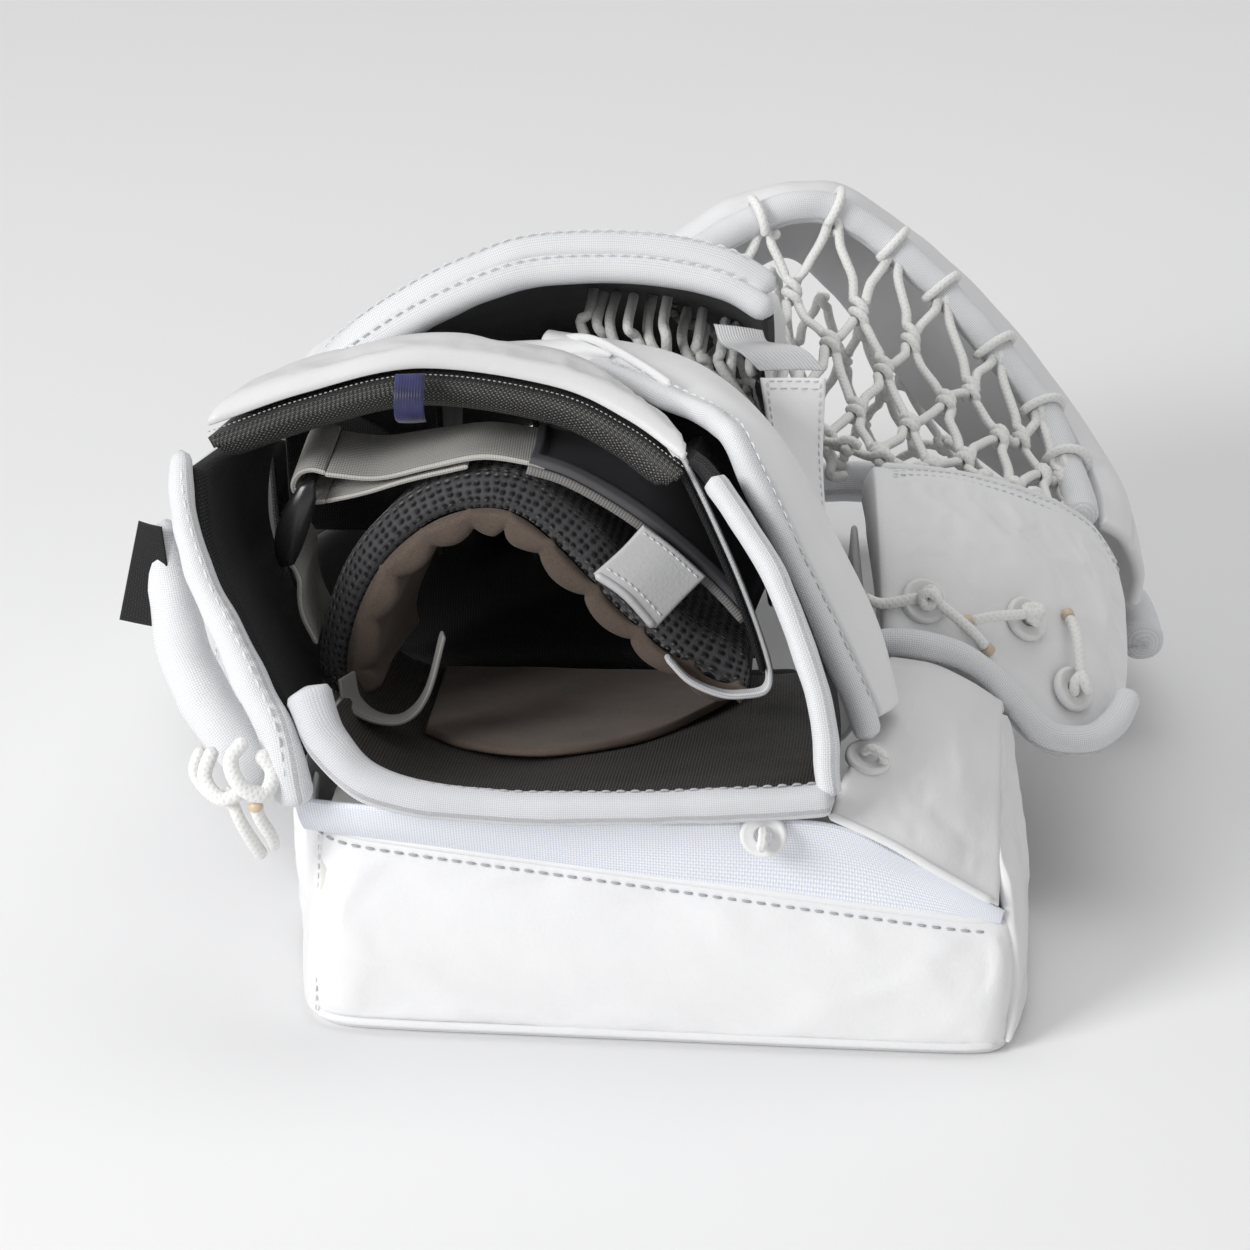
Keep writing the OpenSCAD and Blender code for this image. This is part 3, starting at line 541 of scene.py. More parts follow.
def spacer(name):
    """Black three-dimensional spacer mesh: rows of oval holes between thick yarns, with painted shade in the
    holes and painted highlights on the yarn.
    """
    base = (0.030, 0.030, 0.032)
    m = Nodes(name, base, 0.75, spec=0.35, sheen=0.25)
    hole = m.cells(2.9, "F1", src=m.uv, rand=0.25, stretch=(1.0, 1.3, 1))
    yarn = m.noise(0.8, 3.0)
    # painted shade: the holes are near black, and the yarn between them is lighter away from the holes,
    # painted light on its tops
    col = m.ramp(hole, (0.26, (0.001, 0.001, 0.001)), (0.36, base), (0.62, tuple(c * 1.9 for c in base)))
    # painted highlight: glints on the yarn, away from the holes
    yarn_painted_glint = m.math("MULTIPLY", m.ramp(yarn, (0.55, BLACK), (0.8, WHITE)),
                   m.ramp(hole, (0.3, BLACK), (0.4, WHITE)))
    m.color(m.mix(yarn_painted_glint, col, (0.085, 0.085, 0.09)))
    m.bump(m.ramp(hole, (0.12, BLACK), (0.42, WHITE)), 1.3, 0.9)
    m.bump(yarn, 0.2, 0.7)
    m.rough(yarn, 0.55, 0.9)
    return m.mat


def braid(name, base):
    """Round lace of threads braided both ways, with painted shade in the grooves between the threads."""
    m = Nodes(name, base, 0.62, spec=0.35, sheen=0.2)
    a = m.wave(1.5, 1, turn=0.62)
    b = m.wave(1.5, 1, turn=-0.62)
    h = m.math("MAXIMUM", a, b)
    col = m.tint(m.noise(20.0, 3.0), (0.94, 0.935, 0.92), WHITE)
    # painted shade: the grooves between the braided threads are darker
    col = m.mix(m.ramp(h, (0.2, (0.5, 0.5, 0.5)), (0.7, BLACK)), col, tuple(c * 0.8 for c in base))
    m.color(col)
    m.bump(h, 0.16, 0.7)
    m.bump(m.noise(0.4, 2.0), 0.04, 0.5)
    m.rough(m.noise(1.5, 2.0), 0.5, 0.75)
    return m.mat


def plastic(name, base, rough, bump=0.02, coat=0.0):
    """Moulded plastic or rubber."""
    m = Nodes(name, base, rough, spec=0.5, coat=coat, coat_rough=0.2)
    m.color(m.tint(m.noise(7.0, 3.0), (0.93, 0.93, 0.93), (1.04, 1.04, 1.04)))
    m.rough(m.noise(1.2, 3.0), rough - 0.06, rough + 0.08)
    m.bump(m.noise(0.5, 2.0), bump, 0.5)
    m.bump(m.noise(5.0, 2.0), bump * 3, 0.3)
    return m.mat


def thread(name, base):
    """Twisted sewing thread."""
    m = Nodes(name, base, 0.6, spec=0.4, sheen=0.2)
    twist = m.wave(0.5, 1, turn=0.7)
    m.color(m.tint(m.noise(6.0, 2.0), (0.9, 0.9, 0.9), (1.05, 1.05, 1.05)))
    m.rough(twist, 0.5, 0.7)
    m.bump(twist, 0.06, 0.6)
    return m.mat


def satin(name, base, painted_sheen):
    """Shiny ribbon, with painted sheen: random patches lighter towards a brighter colour."""
    m = Nodes(name, base, 0.4, spec=0.5, sheen=0.3)
    rib = m.wave(0.8, 0)
    # painted sheen: random patches of the ribbon are lightened
    m.color(m.mix(m.ramp(m.noise(5.0, 2.0), (0.35, BLACK), (0.7, WHITE)), base, painted_sheen))
    m.rough(rib, 0.35, 0.55)
    m.bump(rib, 0.08, 0.6)
    return m.mat


def foam(name, base):
    """Closed-cell foam."""
    m = Nodes(name, base, 0.9, spec=0.2)
    cell = m.cells(0.9, "F1")
    m.color(m.tint(m.noise(12.0, 3.0), (0.9, 0.9, 0.88), WHITE))
    m.rough(cell, 0.8, 0.98)
    m.bump(cell, 0.2, 0.6)
    return m.mat


MAT = {
    "white": leather("leather_white", (0.84, 0.84, 0.845)),
    "puffy": leather("leather_soft", (0.83, 0.83, 0.835), rough=0.46, crease=0.7, grain=0.12),
    # greyer leather for the shoulder panel: partly aged leather, partly painted shade
    "grey": leather("leather_shaded", (0.76, 0.755, 0.76), rough=0.42, crease=0.25, dirt=0.08),
    # darker copy of the white leather: painted shade for the top of the wrist flap
    "flap": leather("leather_flap_painted_shade", (0.71, 0.705, 0.705), rough=0.46, crease=0.7, grain=0.12),
    # lighter copy of the white leather: painted light for the back strap tab
    "tab": leather("leather_tab_painted_light", (0.87, 0.87, 0.875), rough=0.42, crease=0.25, dirt=0.08),
    # darker copy of the nylon tape: painted shade for the rim tape on the tunnel floor
    "tape_painted_shade": woven("nylon_tape_painted_shade", (0.74, 0.74, 0.75), (0.56, 0.565, 0.60), 0.62, depth=0.12, rough=0.66,
                      sheen=0.25),
    "band": leather("leather_band", (0.80, 0.80, 0.81), rough=0.45, crease=0.6, dirt=0.08),
    "silver": leather("leather_silver", (0.56, 0.56, 0.565), rough=0.38, crease=0.2, grain=0.16),
    "wedge": woven("nylon_wedge", (0.92, 0.925, 0.95), (0.66, 0.69, 0.78), 0.8, depth=0.14, rough=0.62),
    "tape": woven("nylon_tape", (0.86, 0.86, 0.865), (0.64, 0.65, 0.675), 0.62, depth=0.12, rough=0.66,
                  sheen=0.25),
    "roll": woven("nylon_roll", (0.87, 0.87, 0.875), (0.66, 0.665, 0.69), 0.7, depth=0.12, rough=0.7,
                  sheen=0.25),
    "black": woven("nylon_black", (0.018, 0.018, 0.019), (0.002, 0.002, 0.002), 0.75, depth=0.14, rough=0.6,
                   sheen=0.05, painted_glint=(0.055, 0.054, 0.052), vary=0.3),
    "lining": woven("nylon_charcoal", (0.050, 0.048, 0.045), (0.003, 0.003, 0.003), 0.85, depth=0.26,
                    rough=0.5,
                    sheen=0.05, spec=0.5, painted_glint=(0.24, 0.235, 0.22), turn=0.785, vary=0.25),
    "floor_nylon": woven("nylon_floor", (0.042, 0.036, 0.031), (0.002, 0.002, 0.002), 0.9, depth=0.26,
                         rough=0.45,
                         sheen=0.05, spec=0.5, painted_glint=(0.24, 0.22, 0.20), vary=0.25),
    "suede": suede("suede_taupe", (0.118, 0.092, 0.076)),
    "spacer": spacer("spacer_mesh"),
    "webbing": ribbed("webbing_grey", (0.50, 0.49, 0.455), (0.16, 0.155, 0.14), 1.3, depth=0.3, cross=0.1),
    "edging": ribbed("patch_edging", (0.23, 0.225, 0.215), (0.10, 0.10, 0.095), 0.9, depth=0.12, cross=0.1),
    "elastic": ribbed("elastic_knit", (0.80, 0.80, 0.81), (0.52, 0.52, 0.54), 0.95, depth=0.2, cross=0.5),
    "lace": braid("skate_lace", (0.86, 0.86, 0.85)),
    "rubber": plastic("rubber_patch", (0.075, 0.075, 0.082), 0.5, bump=0.03),
    "ring": plastic("ring_plastic", (0.012, 0.012, 0.013), 0.28, bump=0.006, coat=0.2),
    "washer": plastic("washer_plastic", (0.80, 0.80, 0.795), 0.42, bump=0.015),
    "thread": thread("thread_white", (0.74, 0.745, 0.76)),
    "thread_grey": thread("thread_grey", (0.42, 0.42, 0.44)),
    "thread_black": thread("thread_black", (0.03, 0.03, 0.03)),
    "navy": satin("label_navy", (0.006, 0.007, 0.04), (0.03, 0.03, 0.13)),
    "label": woven("label_black", (0.010, 0.010, 0.010), (0.002, 0.002, 0.002), 0.7, depth=0.08, rough=0.6,
                   painted_glint=(0.03, 0.03, 0.03)),
    "tip": plastic("lace_tip_tan", (0.62, 0.50, 0.36), 0.35, bump=0.01, coat=0.2),
    "foam": foam("foam_core", (0.72, 0.72, 0.69)),
    "board": plastic("composite_board", (0.10, 0.10, 0.11), 0.5),
}


# ---- cuff block

LEAN = 0.30             # how far the block's face leans back for each mm of height


def seam_z(x):
    """Height of the seam above the elbow panel, lower on the thumb side."""
    return 56 - 19 * (x + 100) / 200


# Plan of the block's face, from the little-finger side to the thumb side
FACE_X = [-100.5, -99.5, -96, -88, -70, -30, 20, 60, 88, 98, 101]
FACE_Y = [-16, -31, -42, -48.5, -50, -50, -50, -50, -49.5, -47, -40]


def face_rows(base=1.6, bulge=3.2, levels=(0.0, 0.12, 0.45, 0.8, 1.0)):
    """Rows of the elbow panel at shares of its height; it bulges out between the floor and the seam."""
    rows = []
    for t in levels:
        out = bulge * math.sin(math.pi * min(1, t * 1.05)) - (1.4 if t == 0 else 0)
        heights = [base + (seam_z(x) - base) * t for x in FACE_X]
        rows.append([[x, y + LEAN * z - out, z] for x, y, z in zip(FACE_X, FACE_Y, heights)])
    return rows


def block_lumps(p, u, v):
    """Sag, puckered corners and the dip at the seam."""
    sag = 0.9 * noise(p, (60, 60, 22), 3) + 0.45 * noise(p, (24, 24, 12), 5)
    corner = smooth(v, 0.80, 1.0) * (1.1 * noise(p, (7, 20, 20), 7))
    left = smooth(1 - v, 0.80, 1.0) * 0.7 * noise(p, (6, 16, 26), 9)
    seam = -0.9 * np.exp(-((1 - u) * 55 / 2.2) ** 2)
    return sag * 0.55 + corner + left + seam


panel("cuff_elbow_panel", face_rows(), 1.2, 1.4, (30, 110), MAT["puffy"], "glove",
      ("cuff_elbow_leather",), lumps=block_lumps, hold=lambda p, u, v: 1.0 * ((u > 0.9) | (v < 0.09)))


def slab(name, outline, z0, z1, mat, body, nodes=(), edge=1.2):
    """Flat sheet with a rounded rim: outline is a closed loop of XY points, anticlockwise from above."""
    o = A(outline, float)
    c = o.mean(0)
    t = unit(np.roll(o, -1, 0) - np.roll(o, 1, 0))
    out = np.stack([t[:, 1], -t[:, 0]], 1)
    h = (z1 - z0) / 2
    loops = []
    for a in np.linspace(-90, 90, 9):
        r = math.cos(math.radians(a)) * edge - edge
        loops.append(np.column_stack([o + out * r, np.full(len(o), z0 + h + h * math.sin(math.radians(a)))]))
    n = len(o)
    verts = np.vstack(loops + [[[c[0], c[1], z0]], [[c[0], c[1], z1]]])
    faces = []
    for k, i in np.ndindex(len(loops) - 1, n):
        j = (i + 1) % n
        faces.append((k * n + i, k * n + j, (k + 1) * n + j, (k + 1) * n + i))
    for i in range(n):
        j = (i + 1) % n
        faces.append((len(loops) * n, j, i))
        faces.append((len(loops) * n + 1, (len(loops) - 1) * n + i, (len(loops) - 1) * n + j))
    return finish_piece(add_mesh(name, verts, faces, mat, verts[:, :2]), body, nodes)


base_outline = [[x, y + 0.6] for x, y in zip(FACE_X, FACE_Y)] + \
    [[101.5, -20], [102, 10], [101, 36], [96, 43.5], [60, 44], [0, 44], [-60, 44], [-96, 43.5], [-100, 36],
     [-101, 10]]
base_fine = even(np.column_stack([A(base_outline + base_outline[:1]), np.zeros(len(base_outline) + 1)]),
                 3.0)[:-1, :2]
slab("cuff_base_panel", base_fine, 0.0, 3.0, MAT["white"], "glove", ("cuff_front_leather",),
     edge=1.4)

back_rows = [[[-98, 41.5, 2.5], [-50, 43, 2.5], [0, 43.5, 2.5], [50, 43, 2.5], [98, 41.5, 2.5]],
             [[-99, 42.5, 20], [-50, 45, 20], [0, 45.5, 20], [50, 45, 20], [99, 42.5, 20]],
             [[-98, 41, 37], [-50, 43, 38], [0, 43, 37], [50, 42.5, 35], [98, 40, 36]]]
panel("cuff_back_panel", back_rows, 0.8, 1.2, (14, 60), MAT["puffy"], "glove",
      ("cuff_back_leather",),
      lumps=lambda p, u, v: 0.5 * noise(p, (30, 30, 14), 15))

mesh_rows = [[[x, -50 + LEAN * (seam_z(x) - 0.5) + (1.0 if abs(x) > 90 else 0), seam_z(x) - 0.8]
              for x in (-99, -70, -30, 10, 50, 80, 98)],
             [[-100, -35, 60], [-70, -38.5, 59], [-30, -39, 57], [10, -39, 57], [50, -38.5, 56],
              [76, -37, 48],
              [98.5, -37.5, 38.5]],
             [[-101, -36, 66], [-70, -42, 67], [-30, -43.5, 66.5], [10, -43.5, 67], [48, -42, 68],
              [72, -38.5, 56],
              [99, -37, 40]]]
panel("cuff_mesh_wedge", mesh_rows, 0.9, 0.9, (14, 80), MAT["wedge"], "glove",
      ("cuff_mesh_panel",),
      lumps=lambda p, u, v: 0.35 * noise(p, (30, 30, 12), 21))

shoulder_rows = [[[50, -40.5, 69.5], [66, -39.5, 61], [80, -39, 52.5], [97, -38, 42]],
                 [[52, -30, 74], [67, -29, 68], [81, -29, 60], [97, -28, 49.5]],
                 [[56, -12, 78], [69, -14, 75], [82, -15, 69], [96.3, -13, 60.5]],
                 [[60, 18, 83.5], [72, 20, 82], [83, 21, 79], [95.8, 22, 73]],
                 [[62, 40, 79], [74, 43, 76], [85, 45, 70], [96, 46, 61]]]


def shoulder_lumps(p, u, v):
    return 0.9 * noise(p, (26, 26, 26), 31) + 0.5 * noise(p, (9, 18, 12), 33)


def round_spot(u, v, centre, size, area):
    """1 at centre, a share pair on a panel of size mm, and 0 outside a disc of about area square mm."""
    squared = ((u - centre[0]) * size[0]) ** 2 + ((v - centre[1]) * size[1]) ** 2
    return np.exp(-(squared / area) ** 2)


SHOULDER_WASHER = (0.42, 0.10)
panel("cuff_shoulder_panel", shoulder_rows, 1.6, 1.4, (34, 40), MAT["grey"], "glove",
      ("cuff_shoulder_leather",), lumps=shoulder_lumps,
      hold=lambda p, u, v: round_spot(u, v, SHOULDER_WASHER, (70, 55), 110.0))
sweep("cuff_seam_welt", [[49, -41.4, 70.2], [66, -40.8, 61.8], [80, -40.4, 53.2], [95.5, -39.6, 43.8]],
      [0, -0.7, 0.7],
      2.4, 2.4, MAT["white"], "glove", "binding_white", ("cuff_seam_piping",), step=1.5, sides=10, taper=1.5)

thumb_end_rows = [[[101, -46, 3], [104, -22, 3], [104, 10, 3], [101, 42, 3]],
                  [[101.5, -40, 20], [103.2, -18, 20], [103.4, 12, 20], [101.5, 43, 22]],
                  [[99, -36, 40], [100.2, -16, 42], [100.5, 12, 44], [99.5, 44, 42]],
                  [[96.4, -28, 51], [96.6, -12, 56], [96.8, 14, 60], [98, 46, 54]],
                  [[95.2, -16, 58.5], [95.2, 0, 65], [95.2, 22, 71], [95.6, 46, 60]]]


def end_lumps(p, u, v):
    return 1.1 * noise(p, (30, 26, 9), 41) + 0.8 * noise(p, (30, 12, 22), 43) + 0.3 * noise(p, (9, 9, 5), 45)


panel("cuff_thumb_end", thumb_end_rows, 1.6, 1.4, (40, 46), MAT["puffy"], "glove",
      ("cuff_thumb_end_panel",), lumps=end_lumps)
pinky_end_rows = [[[-100.5, -17, 3], [-103, 0, 3], [-103, 20, 3], [-100, 42, 3]],
                  [[-100, -10, 24], [-105, 2, 24], [-105, 20, 24], [-102, 43, 24]],
                  [[-100.5, -4, 44], [-105, 6, 44], [-105, 22, 44], [-102, 44, 42]],
                  [[-101, -12, 60], [-104, 2, 60], [-104, 20, 58], [-103, 44, 52]]]
panel("cuff_pinky_end", [r[::-1] for r in pinky_end_rows], 1.6, 1.4, (30, 34), MAT["puffy"], "glove",
      ("cuff_pinky_end_panel",), lumps=end_lumps)

# Seams: a double-fold lip with lock stitches along the top, and one down the left side
top = even([[x, y + LEAN * seam_z(x) - 0.2, seam_z(x)] for x, y in zip(FACE_X[1:-1], FACE_Y[1:-1])], 1.5)
sweep("cuff_top_lip", top + A([0, -0.6, -0.4]), [0, -0.9, 0.3], 2.6, 1.7, MAT["puffy"], "glove",
      "white_leather",
      step=2.0, sides=10, taper=2.0)
out_face = unit(A([0, -1, LEAN]))
stitches("cuff_top_stitches", [(top + A([0, -0.9, -3.4]) + out_face * 1.65,
                                np.repeat(out_face[None], len(top), 0))],
         "glove", pitch=4.1, share=0.7, r=0.42, mat=MAT["thread_grey"])
left = even([[-93.5, -44.7 + LEAN * z, z] for z in (3, 20, 38, 55)], 1.5)
left_out = np.repeat(unit(A([[-0.45, -1, 0.2]])), len(left), 0)
stitches("cuff_side_stitches", [(left + left_out * 3.1, left_out)], "glove", pitch=2.6, share=0.66, r=0.3)
bottom = even([[x, y - 0.2, 4.4] for x, y in zip(FACE_X[1:-1], FACE_Y[1:-1])], 1.5)
sweep("cuff_base_lip", bottom + A([0, -0.4, -1.2]), [0, -1, 0.2], 2.4, 1.4, MAT["white"], "glove",
      "white_leather",
      step=2.0, sides=10, taper=2.0)

wash = [washer([31.6, -44.6, 65.0], [0, -1, 0.12], 6.6, 2.5, 2.0)]
p, nrm = on_rows(shoulder_rows, *SHOULDER_WASHER, 1.4)
wash.append(washer(p[0], nrm[0], 6.6, 2.5, 2.0))
joined("cuff_washers", wash, MAT["washer"], "glove", ("cuff_lace_washers",))
p, nrm = p[0], nrm[0]
floor_knob = [[31.6, -46.0, 67.5], [31.8, -49.6, 66.6], [31.4, -50.2, 64.0], [31.2, -47.0, 63.2]]
shoulder_knob = [p + nrm * 1.0 + A([-2, 0, 1]), p + nrm * 4.4, p + nrm * 3.6 + A([3.6, -1, -1]),
                 p + nrm * 0.9 + A([4, -1, -2])]
knobs = [sweep_data(even(pts, 0.7), hint, 3.2, 3.0, sides=12, taper=1.2)
         for pts, hint in ((floor_knob, [1, 0, 0]), (shoulder_knob, [0, 0.3, 1]))]
joined("cuff_lace_knobs", knobs, MAT["lace"], "glove")


# ---- wrist tunnel

floor_rows = [[[-91, -38, 92], [-84, -43, 81], [-68, -45, 73], [-40, -45, 72], [0, -45, 74], [46, -42, 76]],
              [[-91, 20, 76], [-84, 20, 67], [-68, 20, 61], [-40, 20, 59], [0, 20, 61], [46, 20, 66]],
              [[-91, 84, 62], [-84, 84, 54], [-68, 84, 50], [-40, 84, 49], [0, 84, 50], [42, 80, 56]]]
pinky_wall_rows = [[[-100, -37, 76], [-106, -33, 92], [-117, -22, 109], [-129, -8, 126], [-135, 9, 146]],
                   [[-101, 25, 62], [-115, 30, 82], [-127, 38, 102], [-132, 48, 121], [-129, 52, 138]],
                   [[-104, 84, 52], [-119, 86, 70], [-128, 88, 92], [-128, 90, 112], [-123, 92, 130]]]
thumb_wall_rows = [[[50, -41, 80], [43.5, -31.5, 107], [30.5, -12.5, 132], [13, 7, 149.5], [7, 13, 152.5]],
                   [[48.5, 4, 73], [43, 8, 97], [30.5, 20, 121], [11, 30, 139], [4, 34, 146]],
                   [[45, 46, 67], [40, 44, 89], [30, 48, 110], [11, 56, 129], [4, 60, 139]]]


def cloth_lumps(size, amount, seed):
    """Lumps of amount mm for a soft panel, size mm across, with finer ones on them."""
    return lambda p, u, v: amount * noise(p, size, seed) + 0.4 * amount * noise(p, size * 0.4, seed + 1)


panel("tunnel_floor_pad", floor_rows, 0.4, 5.6, (40, 70), MAT["floor_nylon"], "glove",
      ("tunnel_floor",),
      lumps=cloth_lumps(22, 0.7, 51), under=MAT["white"])
panel("tunnel_pinky_pad", pinky_wall_rows, 3.5, 3.5, (40, 50), MAT["roll"], "glove",
      ("tunnel_pinky_wall",), lumps=cloth_lumps(24, 0.8, 53), under=MAT["black"])
panel("tunnel_thumb_pad", thumb_wall_rows, 2.6, 2.4, (36, 50), MAT["black"], "glove",
      ("tunnel_thumb_wall",), lumps=cloth_lumps(22, 0.6, 55))

rim_floor = [[-97, -33.5, 99.5], [-89.5, -42, 86], [-74, -46.5, 75], [-42, -47.5, 71.5], [-3, -47.5, 73],
             [30, -46, 75],
             [51, -44, 76.5]]
rim_thumb = [[50, -44.5, 77], [48.6, -42.5, 85], [48, -40, 93.4], [45.2, -35, 104.9], [40.2, -28, 115.7],
             [34.9, -20, 126.1],
             [30.6, -14.6, 132.8], [21.6, -4.6, 142.2], [13, 4.6, 150.6]]
rim_pinky = [[-99, -43, 67], [-103.6, -40.5, 86], [-113.5, -32, 102.5], [-126.5, -18, 120.5],
             [-134.8, -3, 137], [-137.5, 10, 151]]
TAPE_STEP = 1.6         # spacing of the rings of a rolled tape


def run_share(path, step=TAPE_STEP):
    """Shares from 0 to 1, one for each ring of a tape along path."""
    return np.linspace(0, 1, len(even(path, step)))


k = (1 - run_share(rim_floor)) ** 5
# this tape takes the darker copy of the tape colour, painted shade
sweep("rim_floor_tape", rim_floor, [0, -0.25, 1], 8.0 + 5.5 * k, 9.4 + 5.0 * k, MAT["tape_painted_shade"], "glove",
      "binding_white", ("rim_binding_floor",), step=TAPE_STEP, sides=22, power=2.5, taper=3, wob=0.35,
      seed=61)
sweep("rim_thumb_tape", rim_thumb, [-0.9, -0.35, 0.2], 6.4, 7.0, MAT["tape"], "glove", "binding_white",
      ("rim_binding_thumb",), step=TAPE_STEP, sides=22, power=2.5, taper=2.5, wob=0.3, seed=63)
k = run_share(rim_pinky) ** 0.8
sweep("rim_pinky_roll", rim_pinky, [-0.8, -0.2, 0.5], 12.5 - 6.0 * k, 12.0 - 5.0 * k, MAT["tape"], "glove",
      "binding_white", ("rim_binding_pinky",), step=TAPE_STEP, sides=26, power=2.15, taper=5, wob=0.7,
      seed=65)


def side_line(path, hint, off_side, off_up, step=1.5, start=0.0, end=1.0):
    """A line beside a swept path, as points and normals that point away from it."""
    p = even(path, step)
    t, s, up = frames(p, hint)
    q = p + s * off_side + up * off_up
    n = unit(q - p)
    a, b = int(len(q) * start), int(len(q) * end)
    return q[a:b], n[a:b]


stitches("rim_floor_stitches", [side_line(rim_floor, [0, -0.25, 1], -1.6, 4.55, start=0.16)], "glove",
         pitch=4.0, r=0.4,
         mat=MAT["thread_grey"])
stitches("rim_pinky_stitches", [side_line(rim_pinky, [-0.8, -0.2, 0.5], 5.3, 2.2, start=0.1, end=0.94)],
         "glove",
         pitch=4.2, r=0.4)

wrap_rows = [[[61, -12, 86], [50.5, -4, 105], [37.5, 5, 127], [23.5, 17, 150], [8, 38, 153.5],
              [-8, 57, 152.5], [-44, 88, 150.5]],
             [[64.5, -5, 85.5], [56, 5, 105.5], [44, 15, 126], [30.5, 29, 147], [13, 52, 153], [-7, 71, 154],
              [-44, 96, 153]],
             [[64.5, 2, 84.5], [58, 13, 103], [47, 24, 121], [33, 42, 138.5], [16, 66, 149], [-6, 88, 152.5],
              [-44, 102, 152]]]
panel("wrist_wrap_panel", wrap_rows, 0.6, 2.6, (26, 90), MAT["white"], "glove",
      ("wrist_wrap",),
      edge=1.6)
wrap_edge = [[59.4, -17, 81.5], [55.3, -13.3, 92], [49.6, -9.3, 102.8], [43, -4.3, 114.8], [36.4, 0.7, 126.1],
             [30.4, 5.7, 137.1], [24.4, 11.7, 146.8], [18.4, 19.6, 155.8], [14.2, 26, 157.4],
             [10.1, 33.0, 156.9], [0.5, 43.0, 156.7], [-13.2, 56.0, 157.0], [-27.4, 72.0, 155.0]]
k = run_share(wrap_edge)
sweep("wrist_wrap_tape", wrap_edge, [0.8, -0.5, 0.6], 7.8 - 0.8 * k, 7.8 - 1.6 * k, MAT["tape"], "glove",
      "binding_white", ("wrist_wrap_binding",), step=TAPE_STEP, sides=22, power=2.3, taper=3.2, wob=0.4,
      seed=67)
stitches("wrist_wrap_stitches", [side_line(wrap_edge, [0.8, -0.5, 0.6], 1.6, 3.6, start=0.05, end=0.97)],
         "glove",
         pitch=3.6, r=0.36)

flap_rows = [[[-131, 19, 154], [-104, 24, 163], [-72, 28, 170], [-34, 28, 166], [-12, 22, 159],
              [5, 12.6, 151]],
             [[-123, 46, 152], [-100, 50, 160], [-70, 52, 166], [-36, 52, 162], [-18, 47, 156],
              [-6, 40, 150]],
             [[-114, 74, 142], [-94, 78, 148], [-68, 80, 152], [-38, 80, 148], [-26, 77, 144],
              [-16, 71, 140]]]
lift_rows = [A(flap_rows[0]) + A([0, -0.5, 1.2]), flap_rows[1], flap_rows[2]]
under_rows = [A(flap_rows[0]) + A([0, -2.6, -1.8])] + [A(row) + A([0, 0, -1.5]) for row in flap_rows[1:]]
# the flap top takes the darker leather copy, painted shade
panel("wrist_flap_top", lift_rows, 5.6, 0.6, (26, 80), MAT["flap"], "wrist_flap",
      ("wrist_flap",),
      edge=7.0, lumps=cloth_lumps(30, 0.5, 71))
panel("wrist_flap_roll", under_rows, 0.4, 9.0, (26, 80), MAT["lining"], "wrist_flap",
      ("wrist_flap_lining",), edge=6.5)
seam = even(A(flap_rows[0]) + A([0, -3.0, 0.2]), 1.2)
stitches("wrist_flap_stitches", [(seam, np.repeat([[0, -1.0, 0.15]], len(seam), 0))], "wrist_flap", pitch=1.5,
         share=0.6, r=0.16, mat=MAT["thread_grey"])
loop_rows = [[[-77.5, 20.5, 172.0], [-73.2, 20.6, 172.2], [-69, 20.8, 172.4]],
             [[-77.5, 15.6, 166.5], [-73.2, 15.6, 166.8], [-69, 15.8, 167.2]],
             [[-77.4, 16.6, 160.5], [-73.2, 16.8, 160.6], [-69, 17, 161.0]],
             [[-77.0, 21.5, 157.0], [-73.2, 21.6, 157.0], [-69.2, 21.8, 157.4]]]
panel("size_loop_tape", loop_rows, 0.35, 0.35, (16, 10), MAT["navy"], "wrist_flap",
      ("size_loop",))

label_rows = [[[-140.5, -7.5, 135], [-144, -6.5, 135.2], [-147.5, -5, 135.5]],
              [[-139, -7.5, 119.7], [-145, -6, 119.8], [-151, -4.5, 120]],
              [[-138, -7.5, 103.1], [-146.5, -6, 103.6], [-154.5, -4, 104.1]]]
panel("side_label_tape", label_rows, 0.4, 0.4, (18, 14), MAT["label"], "glove",
      ("side_label",))

# Second, narrower roll outside the little-finger wall, and the knots that lace the wall to the cuff
outer_roll = [[-140.5, 0, 134], [-140.5, -2, 120], [-136.5, -8, 101], [-129.5, -16, 88], [-119, -24, 76],
              [-110, -30, 66]]
swell = np.sin(np.linspace(0.25, 2.6, len(even(outer_roll, 1.8))))
sweep("pinky_outer_roll", outer_roll, [-1, 0, 0.4], 6 + 11 * swell, 6 + 10 * swell, MAT["roll"], "glove",
      "binding_white", step=1.8, sides=20, taper=5, wob=0.8, seed=73)
KNOT_STRANDS = (        # each strand's width and route
    (5.6, [[-112, -46, 89], [-116, -50, 84], [-113, -52, 77], [-107, -50, 74], [-105, -46, 79],
           [-109, -45, 85]]),
    (5.0, [[-122, -42, 84], [-124, -47, 77], [-119, -50, 72], [-113, -49, 74]]),
    (4.6, [[-118, -46, 74], [-115, -48, 66], [-112, -46, 58], [-109, -42, 50]]),
    (4.6, [[-110, -49, 74], [-109, -48, 66], [-106, -45, 58], [-106, -41, 52]]),
    (4.6, [[-126, -38, 82], [-128, -40, 75], [-123, -42, 69], [-116, -42, 66]]))
knots = [sweep_data(even(pts, 0.9), [0.4, -0.8, 0.3], w * 0.82, w * 0.66, sides=14, taper=2.0, wob=0.25,
                    seed=75 + k) for k, (w, pts) in enumerate(KNOT_STRANDS)]
joined("pinky_knots", knots, MAT["lace"], "glove", ("pinky_lace_knots",))
sweep("pinky_knot_tips", [[-109.5, -50.5, 72], [-109.3, -50.2, 68.5]], [0, -1, 0.2], 4.4, 3.8, MAT["tip"],
      "glove",
      "washer_plastic", step=0.5, sides=14, taper=1.5)


# ---- inside the wrist

